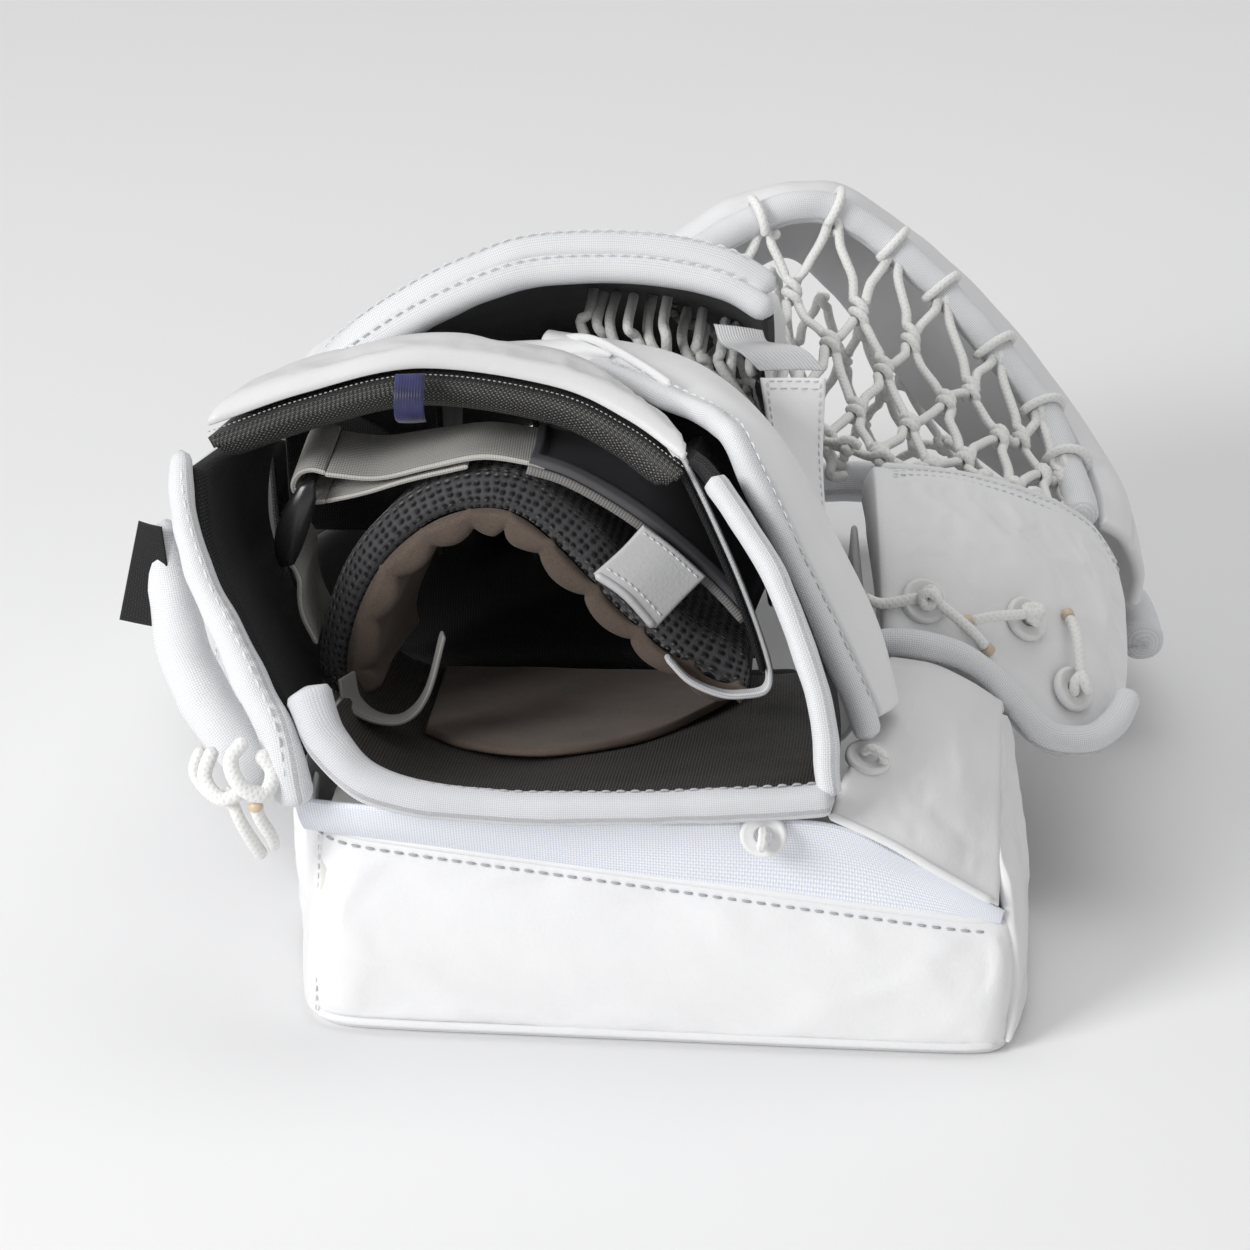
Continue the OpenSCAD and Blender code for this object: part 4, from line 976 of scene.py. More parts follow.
liner_rows = [[[-70, 12, 63.6], [-56, 1, 64.6], [-32, -3, 65.6], [-6, 16, 62.4], [10, 40, 60], [20, 58, 59]],
              [[-71, 44, 57.6], [-54, 40, 58], [-34, 38, 58], [-12, 46, 57.4], [8, 60, 57], [19, 68, 57]],
              [[-72, 78, 52.4], [-54, 80, 52], [-34, 80, 52], [-12, 80, 52.4], [8, 79, 53], [19, 76, 55.4]]]
panel("palm_liner_suede", liner_rows, 2.2, -0.4, (40, 56), MAT["suede"], "glove", ("palm_liner",),
      edge=1.2,
      lumps=cloth_lumps(20, 0.5, 81))
k = np.linspace(0.04, 0.96, 60)
edge_pts = np.vstack([on_rows(liner_rows, k[::-1], np.full(60, 0.03), 1.7)[0],
                      on_rows(liner_rows, np.full(60, 0.05), k, 1.7)[0]])
stitches("palm_liner_stitches", [(edge_pts, np.repeat([[0, -0.1, 1.0]], len(edge_pts), 0))], "glove",
         pitch=2.6, r=0.24,
         mat=MAT["thread_black"])

arch_rows = [[[-92, 23, 70], [-93.5, 23, 82], [-89, 23, 100], [-80.5, 23, 115], [-67, 23, 127],
              [-53, 23, 131], [-42, 23, 128.5],
              [-30, 23, 118], [-16, 23, 102], [-2, 23, 89], [12, 23, 80], [23, 23, 77]],
             [[-90, 54, 66], [-91, 54, 78], [-86, 54, 95], [-77, 54, 110], [-65, 54, 121], [-52, 54, 125],
              [-41, 54, 122.5],
              [-29, 54, 113], [-16, 54, 98], [-2, 54, 86], [11, 54, 77], [22, 54, 74]],
             [[-87, 88, 62], [-88, 88, 73], [-83, 88, 87], [-75, 88, 100], [-63, 88, 110], [-51, 88, 114],
              [-40, 88, 112],
              [-28, 88, 103], [-16, 88, 91], [-2, 88, 81], [10, 86, 74], [20, 84, 71]]]


def mesh_lumps(p, u, v):
    """Thin ends, and fuller on the thumb side."""
    ends = 2.2 * smooth(v, 0.9, 1.0) + 2.0 * smooth(1 - v, 0.93, 1.0)
    return 1.6 * smooth(v, 0.35, 0.75) - ends + 0.6 * noise(p, 18, 83)


def scallops(p, u, v):
    """Eleven puckers along the near edge, and a thin little-finger end."""
    puckers = 3.4 * np.abs(np.cos(v * np.pi * 11.0 + 0.4 + 0.5 * noise(p, 30, 87))) ** 0.6 - 1.4
    return smooth(1 - u, 0.5, 1.0) * puckers + 0.6 * noise(p, 14, 85) - 2.0 * smooth(1 - v, 0.55, 0.95)


panel("wrist_pad_mesh", arch_rows, 9.5, -0.3, (40, 150), MAT["spacer"], "glove",
      ("wrist_pad",), edge=5.5,
      lumps=mesh_lumps)
suede_rows = [[[x, y - 1.0 + 0.7 * math.cos(k * 2.4), z] for k, (x, y, z) in enumerate(arch_rows[0])],
              arch_rows[1],
              arch_rows[2]]
panel("wrist_pad_suede", [r[::-1] for r in suede_rows], 7.0, -0.4, (40, 190), MAT["suede"], "glove",
      ("wrist_pad_liner",), edge=3.2, lumps=scallops)

strap_rows = [[[-99, 25, 138.4], [-84, 25, 137.8], [-69, 25, 141.8], [-54, 25, 145.4], [-41, 25, 144.2],
               [-36, 25, 142.6]],
              [[-99, 43, 137.8], [-85, 43, 136.8], [-70, 43, 140.4], [-55, 43, 143.8], [-42, 43, 142.6],
               [-36, 43, 141.4]],
              [[-99, 60, 136.8], [-86, 60, 135.8], [-71, 60, 138.6], [-56, 60, 141.2], [-43, 60, 140],
               [-37, 60, 139]]]
panel("wrist_strap_webbing", strap_rows, 0.9, 0.9, (22, 60), MAT["webbing"], "glove",
      ("wrist_strap",),
      edge=0.9, lumps=cloth_lumps(30, 0.3, 91))
low_strap = [[[-99, 26, 129.6], [-88, 26, 132.6], [-75, 26, 137.2], [-58, 26, 142.0]],
             [[-99, 43, 129.2], [-88, 43, 131.8], [-75, 43, 135.8], [-59, 43, 140.4]],
             [[-99, 59, 128.4], [-88, 59, 130.8], [-75, 59, 134.2], [-60, 59, 137.8]]]
panel("wrist_strap_return", low_strap, 0.8, 0.8, (18, 36), MAT["webbing"], "glove", edge=0.8)
turn = [(-99, 138.4), (-103, 139.2), (-106.6, 137.8), (-108.4, 134), (-106.8, 130.6), (-103.4, 129.2),
        (-99, 129.6)]
panel("wrist_strap_turn", [[[x, y, z] for x, z in turn] for y in (26, 43, 59.5)], 0.9, 0.9, (12, 40),
      MAT["webbing"], "glove",
      ("strap_turn",), edge=0.9)

patch_rows = [[[-40.5, 25, 144.4], [-30, 25, 141.2], [-19, 25, 135.2], [-8, 25, 127.8], [4, 25, 117.8],
               [15, 25, 107.2],
               [23, 25, 98]],
              [[-40.5, 43, 142.6], [-29, 43, 140.4], [-15, 43, 136.2], [-4, 43, 129], [7, 43, 119],
               [17, 43, 108], [25, 43, 98]],
              [[-41.5, 59, 140], [-28, 59, 140.4], [-12, 59, 136.8], [1, 59, 129.6], [11, 59, 119],
               [20, 57, 107.5],
               [27, 55, 98]]]


def patch_lumps(p, u, v):
    """A raised line round the patch's sunk middle."""
    from_rim = np.minimum(np.minimum(u, 1 - u) * 36, np.minimum(v, 1 - v) * 80)
    return 0.8 * np.exp(-(from_rim - 2.6) ** 2) - 0.5 * smooth(from_rim, 3.5, 5.0)


panel("strap_patch_rubber", patch_rows, 1.8, 1.0, (44, 90), MAT["rubber"], "glove",
      ("strap_patch",),
      edge=1.0, lumps=patch_lumps)
band_edge = on_rows(patch_rows, np.full(50, 0.0), np.linspace(0.0, 0.98, 50), -1.4)[0]
sweep("strap_patch_edge", band_edge + A([0, -0.6, -0.5]), [0, -1, 0.3], 2.6, 1.2, MAT["edging"], "glove",
      "webbing_grey",
      step=1.5, sides=10)

ring_path = [[-104, 43, 134], [-104, 56, 134], [-104, 61.5, 133.4], [-105.6, 63.4, 130], [-109, 63.8, 123],
             [-110.4, 63.2, 115.5], [-110.2, 61, 112.2], [-110, 56, 111.8], [-110, 43, 111.8],
             [-110, 30, 111.8],
             [-110.2, 25, 112.2], [-110.4, 22.8, 115.5], [-109, 22.4, 123], [-105.6, 22.8, 130],
             [-104, 24.5, 133.4], [-104, 30, 134], [-104, 43, 134]]
sweep("strap_ring_plastic", ring_path, [-1, 0, -0.3], 3.8, 3.4, MAT["ring"], "ring", "ring_plastic",
      ("strap_ring",), step=1.2, power=2.4)
plate = ((-103.4, 22.4, 137.2, 3.5), (-105.4, 20.8, 131.5, 8.5), (-107.8, 20.2, 124, 10),
         (-109.4, 20.6, 117, 8.5), (-110.2, 22.0, 110.8, 4))      # the face's middle line and its width
plate_rows = [[[x + side * w / 2, y + 0.15 * w * abs(side), z + side * w * 0.12] for x, y, z,
               w in plate] for side in (-1, 0, 1)]
panel("strap_ring_face", plate_rows, 1.2, 1.2, (14, 28), MAT["ring"], "ring", edge=2.2)
anchor_rows = [[[-107.6, 27, 114.0], [-110.6, 27, 114.6], [-113.0, 27, 112.6], [-112.6, 27, 109.6],
                [-109.6, 27, 108.6],
                [-107.6, 27, 104], [-107.6, 27, 98], [-106.6, 27, 92], [-103, 27, 84]],
               [[-107.6, 59, 114.0], [-110.6, 59, 114.6], [-113.0, 59, 112.6], [-112.6, 59, 109.6],
                [-109.6, 59, 108.6],
                [-107.6, 59, 104], [-107.6, 59, 98], [-106.6, 59, 91], [-103, 59, 82]]]
anchor = panel("ring_anchor_webbing", anchor_rows, 0.9, 0.9, (14, 60), MAT["webbing"], None,
               ("ring_anchor_strap",), edge=0.9)
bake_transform(anchor)

strip_near = [[3.6, 14, 153.5], [9.3, 14, 141.5], [15.1, 14, 128.3], [20.6, 14, 114.9], [26.1, 14, 99.5],
              [29.6, 13.6, 87],
              [28.6, 13, 81], [22.5, 12.6, 79.3], [15.5, 12.8, 79.3], [6.6, 13.4, 82.9], [0.1, 14.6, 89.2]]
strip_rows = [strip_near, A(strip_near) + A([-1.2, 6.5, -1.6])]
panel("pad_edge_tape", strip_rows, 0.9, 0.9, (14, 90), MAT["tape"], "glove",
      ("pad_edge_strap",), edge=0.9)
sweep("pad_edge_black", A(strip_near[:6]) + A([-1.8, 0.2, -1.0]), [0, -1, 0], 2.4, 2.4, MAT["black"], "glove",
      "black_nylon", step=2.0, sides=10, taper=1.5)
elastic_loop = [[[-92, -4, 88], [-90, -6, 80.5], [-82, -7, 76.5], [-73, -6, 76.5], [-67, -2, 83],
                 [-63, 6, 98]],
                [[-91, 3, 86], [-89, 1, 78.5], [-82, 0, 74], [-74, 1, 74], [-68, 5, 80.5], [-64, 12, 96]],
                [[-90, 10, 84], [-88, 8, 76.5], [-82, 7, 72], [-75, 8, 72], [-69, 12, 78.5], [-65, 18, 94]]]
# the loop is grey webbing; the dark edging colour on it is painted shade, as it lies in shadow
panel("inner_elastic_loop", elastic_loop, 0.7, 0.7, (14, 60), MAT["edging"], "glove",
      edge=0.7)

tab_rows = [[[-7.6, 21.4, 128], [1, 21, 121.6], [10.4, 21.4, 112.6]],
            [[-13.6, 17.4, 122], [-5, 16.8, 115.8], [3.8, 17.4, 106.6]],
            [[-21, 12.6, 116.2], [-12, 12, 110.2], [-3.2, 12.6, 99.8]]]
panel("pull_tab_leather", tab_rows, 0.9, 0.9, (24, 24), MAT["silver"], "pull_tab",
      ("pull_tab",), edge=1.0,
      lumps=cloth_lumps(14, 0.25, 95))
fold = even(A(tab_rows[2]) + A([[0.4, -0.3, 0.2], [0.2, -0.4, 0.2], [-0.2, -0.3, 0.4]]), 1.0)
sweep("pull_tab_fold", fold, [0, -1, 0.4], 2.6, 2.6, MAT["silver"], "pull_tab", "grey_leather", step=1.2,
      sides=12, taper=1.0)
tab_lines = []
for u0 in (0.84, 0.1):
    p, nrm = on_rows(tab_rows, np.full(30, u0), np.linspace(0.05, 0.95, 30), 0.0)
    nrm = nrm * np.sign(nrm @ A([0.2, -0.8, 0.6]))[:, None]
    tab_lines.append((p + nrm, nrm))
stitches("pull_tab_stitches", tab_lines, "pull_tab", pitch=2.3, r=0.26)


# ---- back of the hand, seen between wrap and fingers

lining_rows = [[[-14, 90, 148], [0, 80, 148], [15, 65, 145.5], [32, 42, 135], [45, 26, 117]],
               [[-12, 98, 132], [2, 92, 128], [14, 80, 122], [29, 60, 112], [41, 44, 100]],
               [[-8, 108, 116], [6, 104, 108], [16, 94, 98], [28, 78, 90], [38, 62, 78]]]
panel("hand_back_lining", lining_rows, 0.8, 0.8, (20, 40), MAT["black"], "glove",
      lumps=cloth_lumps(18, 0.5, 103))
side_lining = [[[-121, 93, 126], [-100, 94, 128], [-78, 95, 114]],
               [[-121, 96, 106], [-100, 97, 107], [-77, 98, 101]],
               [[-121, 99, 88], [-100, 100, 88], [-76, 101, 88]]]
panel("little_finger_lining", side_lining, 0.6, 0.6, (20, 24), MAT["black"], "glove",
      lumps=cloth_lumps(18, 0.4, 105))
overlay_rows = [[[-60, 97, 151.5], [-44, 93, 154.5], [-33, 88.5, 156.5], [-25.5, 81, 157.5],
                 [-21, 76.5, 157.6]],
                [[-60, 90, 151.5], [-44, 87, 154], [-33, 84, 156], [-26, 79, 157], [-21.4, 76, 157.3]],
                [[-60, 86, 149], [-43, 84.5, 152.4], [-33, 82.6, 154.3], [-26.6, 80.2, 155.2],
                 [-22, 78.2, 155.6]]]
panel("hand_back_overlay", overlay_rows, 1.6, 0.6, (12, 40), MAT["white"], "glove", edge=1.5)
sweep("hand_back_piping", [[-41, 100, 151.5], [-33, 92, 156.0], [-25, 82, 158.6], [-11, 61, 160.2],
                           [-2, 48.5, 159.8]],
      [0, -0.5, 1], 2.8, 2.8, MAT["white"], "glove", "binding_white", step=1.5, sides=12, taper=2)


# ---- fingers

palm_rows = [[[-102, 47, 20], [-62, 47, 25], [-12, 47, 26], [34, 47, 32]],
             [[-122, 74, 19], [-70, 76, 28], [-16, 76, 30], [36, 74, 38]],
             [[-136, 104, 16], [-80, 108, 33], [-20, 108, 37], [34, 102, 43]]]
panel("palm_pad_leather", palm_rows, 7, 7, (26, 70), MAT["black"], "glove", ("palm_pad",),
      edge=6,
      lumps=cloth_lumps(26, 0.7, 111), under=MAT["white"])
finger_rows = [[[-137, 106, 17], [-80, 110, 34], [-24, 110, 38], [24, 106, 48]],
               [[-146, 170, 18], [-85, 174, 38], [-32, 174, 44], [12, 168, 48]],
               [[-138, 232, 15], [-85, 236, 34], [-40, 236, 40], [8, 230, 40]],
               [[-108, 286, 9], [-78, 296, 15], [-42, 299, 17], [-4, 288, 18]]]


def finger_creases(p, u, v):
    """Grooves between the fingers, and soft dents."""
    grooves = -1.4 * sum(np.exp(-((v - c) / 0.012) ** 2) for c in (0.26, 0.5, 0.74)) * smooth(u, 0.1, 0.3)
    return grooves + 0.6 * noise(p, 22, 113)


panel("finger_board_leather", finger_rows, 8.3, 8.3, (60, 80), MAT["black"], "glove",
      ("finger_board",),
      edge=7, lumps=finger_creases, under=MAT["white"])
board_edge = [[-106, 44.5, 24], [-128, 78, 22], [-143, 112, 20], [-151, 172, 20], [-143, 236, 17],
              [-112, 291, 10],
              [-78, 301, 12], [-42, 304, 14], [-2, 293, 17]]
sweep("finger_board_tape", board_edge, [0, 0, 1], 8.6, 11.5, MAT["tape"], "glove", "binding_white",
      ("finger_board_binding",),
      step=2.4, sides=20, power=2.5, taper=4, wob=0.4, seed=115)
tape = bpy.data.objects["finger_board_tape"]
tape.data.materials.append(MAT["black"])
for poly in tape.data.polygons:
    inward = Vector((-0.060, 0.170, 0.03)) - poly.center
    if poly.normal.dot(inward.normalized()) > 0.25 and 0.09 < poly.center.y < 0.27:
        poly.material_index = 1
stitches("finger_board_stitches", [side_line(board_edge, [0, 0, 1], -4.2, 4.0, start=0.05, end=0.95)],
         "glove", pitch=4.4, r=0.4)

side_rows = [[[-106, 94, 34], [-134, 118, 33], [-143, 174, 33], [-135, 232, 29], [-112, 276, 23]],
             [[-122, 97, 74], [-138, 124, 70], [-143, 178, 58], [-134, 234, 42], [-112, 274, 27]],
             [[-126, 99, 112], [-131, 128, 106], [-134, 182, 82], [-127, 236, 52], [-110, 273, 31]]]
panel("pinky_side_leather", side_rows, 1.3, 1.3, (30, 90), MAT["black"], "glove",
      ("pinky_side_wall",),
      lumps=cloth_lumps(26, 0.9, 117), under=MAT["puffy"])
side = bpy.data.objects["pinky_side_leather"].data
along = [side.uv_layers[0].data[poly.loop_start].uv[0] for poly in side.polygons]
for poly, at in zip(side.polygons, along):
    if at < 0.07 * max(along):
        poly.material_index = 0
gusset_rows = [[[24, 116, 60], [17, 168, 60], [11, 224, 54], [0, 266, 36]],
               [[26, 116, 100], [21, 160, 88], [16, 210, 72], [4, 262, 44]],
               [[20, 118, 142], [17, 152, 120], [13, 200, 94], [4, 254, 56]]]
panel("finger_gusset_leather", gusset_rows, 1.3, 1.3, (30, 80), MAT["puffy"], "glove",
      ("finger_gusset",),
      lumps=cloth_lumps(20, 0.8, 119), under=MAT["black"])
for k, x in enumerate((-82, -52, -22)):
    rows = [[[x, 152, 56], [x, 180, 56], [x, 206, 55]], [[x, 152, 84], [x, 180, 76], [x, 206, 68]],
            [[x, 152, 118], [x, 180, 108], [x, 206, 96]]]
    panel("finger_divider_%d" % (k + 1), rows, 1.0, 1.0, (16, 18), MAT["black"], "glove",
          ("finger_dividers",) if k == 0 else (), lumps=cloth_lumps(16, 0.4, 121 + k))

shell_rows = [[[-122, 100, 122], [-106, 94, 142], [-80, 100, 158], [-46, 110, 169], [-16, 112, 169],
               [10, 110, 166],
               [24, 106, 160]],
              [[-128, 140, 108], [-108, 146, 128], [-80, 152, 140], [-46, 158, 148], [-14, 158, 147],
               [10, 154, 142],
               [22, 148, 134]],
              [[-128, 196, 84], [-108, 204, 104], [-80, 210, 116], [-46, 214, 123], [-14, 214, 122],
               [8, 208, 115],
               [18, 200, 105]],
              [[-120, 246, 54], [-98, 256, 76], [-74, 262, 88], [-46, 266, 94], [-18, 266, 92], [2, 260, 82],
               [12, 252, 70]],
              [[-108, 282, 24], [-90, 292, 34], [-68, 298, 42], [-44, 300, 46], [-22, 299, 43], [-4, 294, 36],
               [6, 286, 28]]]


FINGER_SEAMS = (0.27, 0.46, 0.66)


def finger_lumps(p, u, v):
    """A round back for each finger, with channels between them and creases across."""
    channels = sum(np.exp(-((v - c) / 0.016) ** 2) for c in FINGER_SEAMS)
    creases = sum(np.exp(-((u - c) / 0.010) ** 2) for c in (0.36, 0.6, 0.82))
    backs = 1.2 * np.abs(np.cos((v - 0.08) * np.pi / 0.21)) ** 0.8
    return smooth(u, 0.10, 0.25) * (backs - 2.0 * channels - 0.9 * creases) + 0.7 * noise(p, 26, 125)


def finger_hold(p, u, v):
    near = sum(np.exp(-(np.abs(v - c) / 0.028) ** 4) for c in FINGER_SEAMS)
    return np.clip(near + (u < 0.12), 0, 1)


panel("finger_protector_shell", shell_rows, 6.0, 3.0, (70, 110), MAT["white"], "glove",
      ("finger_protector",), edge=5.0, lumps=finger_lumps, under=MAT["black"], hold=finger_hold)
lines = [on_rows(shell_rows, np.linspace(0.14, 0.93, 90), np.full(90, c + d), 5.9)
         for c in FINGER_SEAMS for d in (-0.014, 0.014)]
stitches("finger_seam_stitches", lines, "glove", pitch=4.6, r=0.42)

lip = [[-124, 103, 117], [-114, 97, 131], [-100, 92, 146.5], [-80, 95, 160], [-60, 101, 168.4],
       [-46, 105, 171.4],
       [-26, 107, 172.4], [-8, 107, 171.6], [10, 105, 168.4], [24, 101, 162]]
k = run_share(lip, 1.8)
sweep("finger_lip_tape", lip, [0, -0.7, 0.7], 7.5 + 1.5 * np.sin(np.pi * k), 9.5 - 2.0 * k, MAT["tape"],
      "glove",
      "binding_white", ("finger_protector_binding",), step=1.8, sides=22, power=2.5, taper=4.5, wob=0.35,
      seed=127)
back_lip = A(lip[1:]) + A([0, 5.5, 5.6])
sweep("finger_lip_tape_back", back_lip, [0, -0.3, 1], 10.0, 4.6, MAT["tape"], "glove", "binding_white",
      step=1.8, sides=20,
      power=2.8, taper=4.5, wob=0.3, seed=129)
stitches("finger_lip_stitches", [side_line(lip, [0, -0.7, 0.7], -2.0, 4.9, start=0.06, end=0.94),
                                 side_line(back_lip, [0, -0.3, 1], -3.0, 2.6, start=0.06, end=0.94)], "glove",
         pitch=3.8, r=0.36)


# ---- strap across the back of the hand

def crowned(left, right, lift):
    """Rows of a strap between its edges, its middle lifted off the hand."""
    return [left, (left + right) / 2 + A([0, -lift, 0.5]), right]


elastic_left = A([[6, 108, 155.5], [8.5, 104.5, 150.6], [14.5, 102.6, 148.4], [20.2, 102.4, 143.2]])
elastic_right = A([[20.5, 109, 153.5], [23, 107, 150.2], [33, 106.2, 149], [39.8, 104.6, 143]])
elastic = panel("back_elastic_knit", crowned(elastic_left, elastic_right, 0.6), 0.8, 0.8, (22, 50),
                MAT["elastic"], None, ("back_elastic",), edge=0.8)
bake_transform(elastic)
tab_left = A([[20.4, 101, 141.4], [23, 90, 133], [25.6, 78, 125.1], [30.9, 62, 115.5], [35, 50, 108]])
tab_right = A([[39.9, 103, 141.2], [40, 94, 132], [40.2, 84, 123.1], [41.6, 70, 111.6], [43.5, 60, 103.6]])
back_tab_rows = crowned(tab_left, tab_right, 0.8)
panel("back_tab_leather", back_tab_rows, 1.2, 1.0, (24, 90), MAT["tab"], "back_tab",
      ("back_strap_tab",),
      edge=1.0, lumps=cloth_lumps(24, 0.3, 131))
lines = [on_rows(back_tab_rows, np.full(90, u0), np.linspace(0.03, 0.97, 90), 1.2) for u0 in (0.1, 0.9)]
lines += [on_rows(back_tab_rows, np.linspace(0.1, 0.9, 20), np.full(20, v0), 1.2) for v0 in (0.03, 0.075)]
stitches("back_tab_stitches", lines, "back_tab", pitch=2.6, r=0.28)


# ---- thumb

thumb_rows = [[[60, 54, 78], [74, 54, 73], [95, 58, 62], [112, 56, 49], [124, 63, 43], [130, 80, 44]],
              [[58, 70, 94], [76, 76, 91], [98, 82, 80], [116, 84, 65], [127, 90, 56], [132, 98, 52]],
              [[56, 88, 106], [76, 100, 101], [100, 108, 90], [118, 114, 76], [127, 116, 67], [131, 118, 60]],
              [[54, 106, 112], [78, 125, 102], [100, 138, 91], [116, 148, 79], [123, 146, 72],
               [128, 139, 66]]]
LACED = ((0.20, 0.15), (0.28, 0.43), (0.17, 0.61))      # the washers' places on the pad, as shares


def thumb_lumps(p, u, v):
    """Dimples at the washers, and soft dents."""
    dimples = 0
    for c in LACED:
        dimples = dimples - 1.5 * np.exp(-(((u - c[0]) * 60) ** 2 + ((v - c[1]) * 90) ** 2) / 70.0)
    return dimples + 0.9 * noise(p, 28, 133) + 0.4 * noise(p, 11, 135)


def thumb_hold(p, u, v):
    near = (u > 0.85) * 1.0
    for c in LACED:
        near = near + round_spot(u, v, c, (60, 90), 110.0)
    return np.clip(near, 0, 1)


panel("thumb_pad_leather", thumb_rows, 2.2, 17.5, (60, 80), MAT["white"], "thumb",
      ("thumb_cover", "thumb_board"), edge=7.5, lumps=thumb_lumps, hold=thumb_hold)
lines = [on_rows(thumb_rows, np.full(90, u0), np.linspace(0.04, 0.94, 90), 2.3) for u0 in (0.90, 0.955)]
stitches("thumb_edge_stitches", lines, "thumb", pitch=2.9, r=0.3)
thumb_lip = [A(on_rows(thumb_rows, 0.995, t, 0.4)[0][0]) for t in np.linspace(0.02, 0.98, 9)]
sweep("thumb_top_welt", thumb_lip, [0, 0, 1], 3.4, 3.4, MAT["white"], "thumb", "white_leather", step=1.8,
      sides=12, taper=2.5)

stall_rows = [[[66, 74, 62], [84, 78, 55], [102, 84, 44], [114, 92, 36]],
              [[62, 98, 60], [82, 108, 53], [100, 116, 44], [113, 122, 38]],
              [[58, 122, 80], [80, 138, 72], [98, 148, 62], [112, 154, 54]]]
panel("thumb_stall_suede", stall_rows, 1.2, 1.2, (24, 40), MAT["suede"], "thumb", ("thumb_stall",),
      lumps=cloth_lumps(18, 0.5, 137))
thumb_edge = [[56, 47, 81], [67, 47.5, 81.5], [80, 49, 78], [91.5, 51, 70.5], [101.5, 51, 59],
              [110, 50.5, 51.3],
              [120.5, 55.5, 48.4], [128.5, 65, 49.5], [133, 78, 54]]
sweep("thumb_edge_tape", thumb_edge, [0, -0.5, 0.9], 8.4, 8.0, MAT["tape"], "thumb", "binding_white",
      ("thumb_binding",),
      step=1.6, sides=22, power=2.4, taper=4, wob=0.6, seed=139)

def thumb_point(share, lift):
    """One point on the thumb pad and the normal there."""
    p, nrm = on_rows(thumb_rows, *share, lift)
    return p[0], nrm[0]


wash = [washer(*thumb_point(c, 1.6), 7.0, 2.4, 2.2) for c in LACED]
joined("thumb_washers", wash, MAT["washer"], "thumb", ("thumb_lace_washers",))


# A small overhand knot: steps along the pad's normal, along the lace and across it
KNOT = A([[-1.5, 0, 0], [2.2, -1.6, 1.2], [4.2, 0, 2.6], [4.6, 2.4, 0.4], [3.0, 1.2, -2.4], [4.8, -1.8, -1.6],
          [6.0, 0, 0.4], [4.4, 4.2, 0]])
LACE_END = {"sides": 12, "taper": 1.0, "wob": 0.15}
knots, tips = [], []
for c, goal in zip(LACED, ((0.10, 0.33), (0.17, 0.28), (0.39, 0.54))):
    p, nrm = thumb_point(c, 2.2)
    q, _ = thumb_point(goal, 4.0)
    t = unit(q - p - nrm * float(np.dot(q - p, nrm)))
    turns = p + KNOT @ A([nrm, t, np.cross(nrm, t)])
    knots.append(sweep_data(even(turns, 0.8), nrm, 3.4, 3.4 * 0.86, sides=12, taper=1.0, wob=0.18, seed=141))
    end = turns[-1]
    tail = [end - t * 1.5, end + t * 1.5 - nrm * 0.3, end * 0.4 + q * 0.6 + nrm * 1.4, q]
    knots.append(sweep_data(even(tail, 1.0), nrm, 3.4, 3.0, seed=143, **LACE_END))
    t = unit(tail[-1] - tail[-2])
    tips.append(sweep_data(even([q - t * 0.8, q + t * 2.6], 0.5), nrm, 4.0, 3.2, sides=12, taper=0.8))
# The lace that comes out from under the wrap to the first washer
out_point, out_nrm = thumb_point((0.17, 0.0), 2.6)
first_lace = [out_point - A([6, 0, -2]), out_point, thumb_point((0.20, 0.13), 4.6)[0]]
knots.append(sweep_data(even(first_lace, 1.0), out_nrm, 3.4, 3.0, seed=145, **LACE_END))
joined("thumb_knots", knots, MAT["lace"], "thumb", ("thumb_lace_ends",))
joined("thumb_knot_tips", tips, MAT["tip"], "thumb")


# ---- pocket


def pocket(ob, slot, *nodes):
    """A piece of the pocket, between the glove and the thumb: its place is baked into its points and the CAD
    nodes it stands for are hidden.
    """
    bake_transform(ob)
    if nodes:
        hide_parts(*nodes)


palm_gusset_rows = [[[43, 58, 40], [49, 58, 45], [53, 58, 51], [57, 58, 58]],
                    [[43, 84, 46], [48, 84, 54], [51, 84, 64], [53, 84, 75]],
                    [[40, 108, 54], [45, 108, 66], [48, 108, 79], [49, 108, 92]]]
pocket(panel("palm_gusset_leather", palm_gusset_rows, 1.1, 1.1, (20, 24), MAT["puffy"], None,
             lumps=cloth_lumps(14, 0.5, 151)),
       "white_leather", "palm_gusset")
band_rows = [[[-14, 212, 135], [6, 230, 141], [24, 240, 145], [43, 245, 140], [73, 240, 117], [106, 220, 88],
              [120, 192, 73],
              [124, 160, 72]],
             [[-16, 226, 136], [4, 243, 145], [24, 256, 144], [41, 262, 139], [75, 259, 114], [110, 232, 84],
              [128, 198, 68],
              [131, 162, 66]],
             [[-10, 248, 122], [10, 266, 130], [28, 276, 123], [45, 280, 110], [74, 272, 84], [108, 243, 62],
              [130, 206, 52],
              [136, 164, 54]],
             [[-4, 266, 104], [17, 280, 112], [32, 288, 98], [46, 290, 80], [70, 280, 54], [102, 252, 40],
              [126, 214, 37],
              [135, 166, 42]]]


def band_lumps(p, u, v):
    """Dents, and the crease that runs along the band."""
    return 1.0 * noise(p, 30, 153) + 0.5 * noise(p, (10, 24, 12),
                                                 155) - 1.2 * np.exp(-((u - 0.42) / 0.02) ** 2)


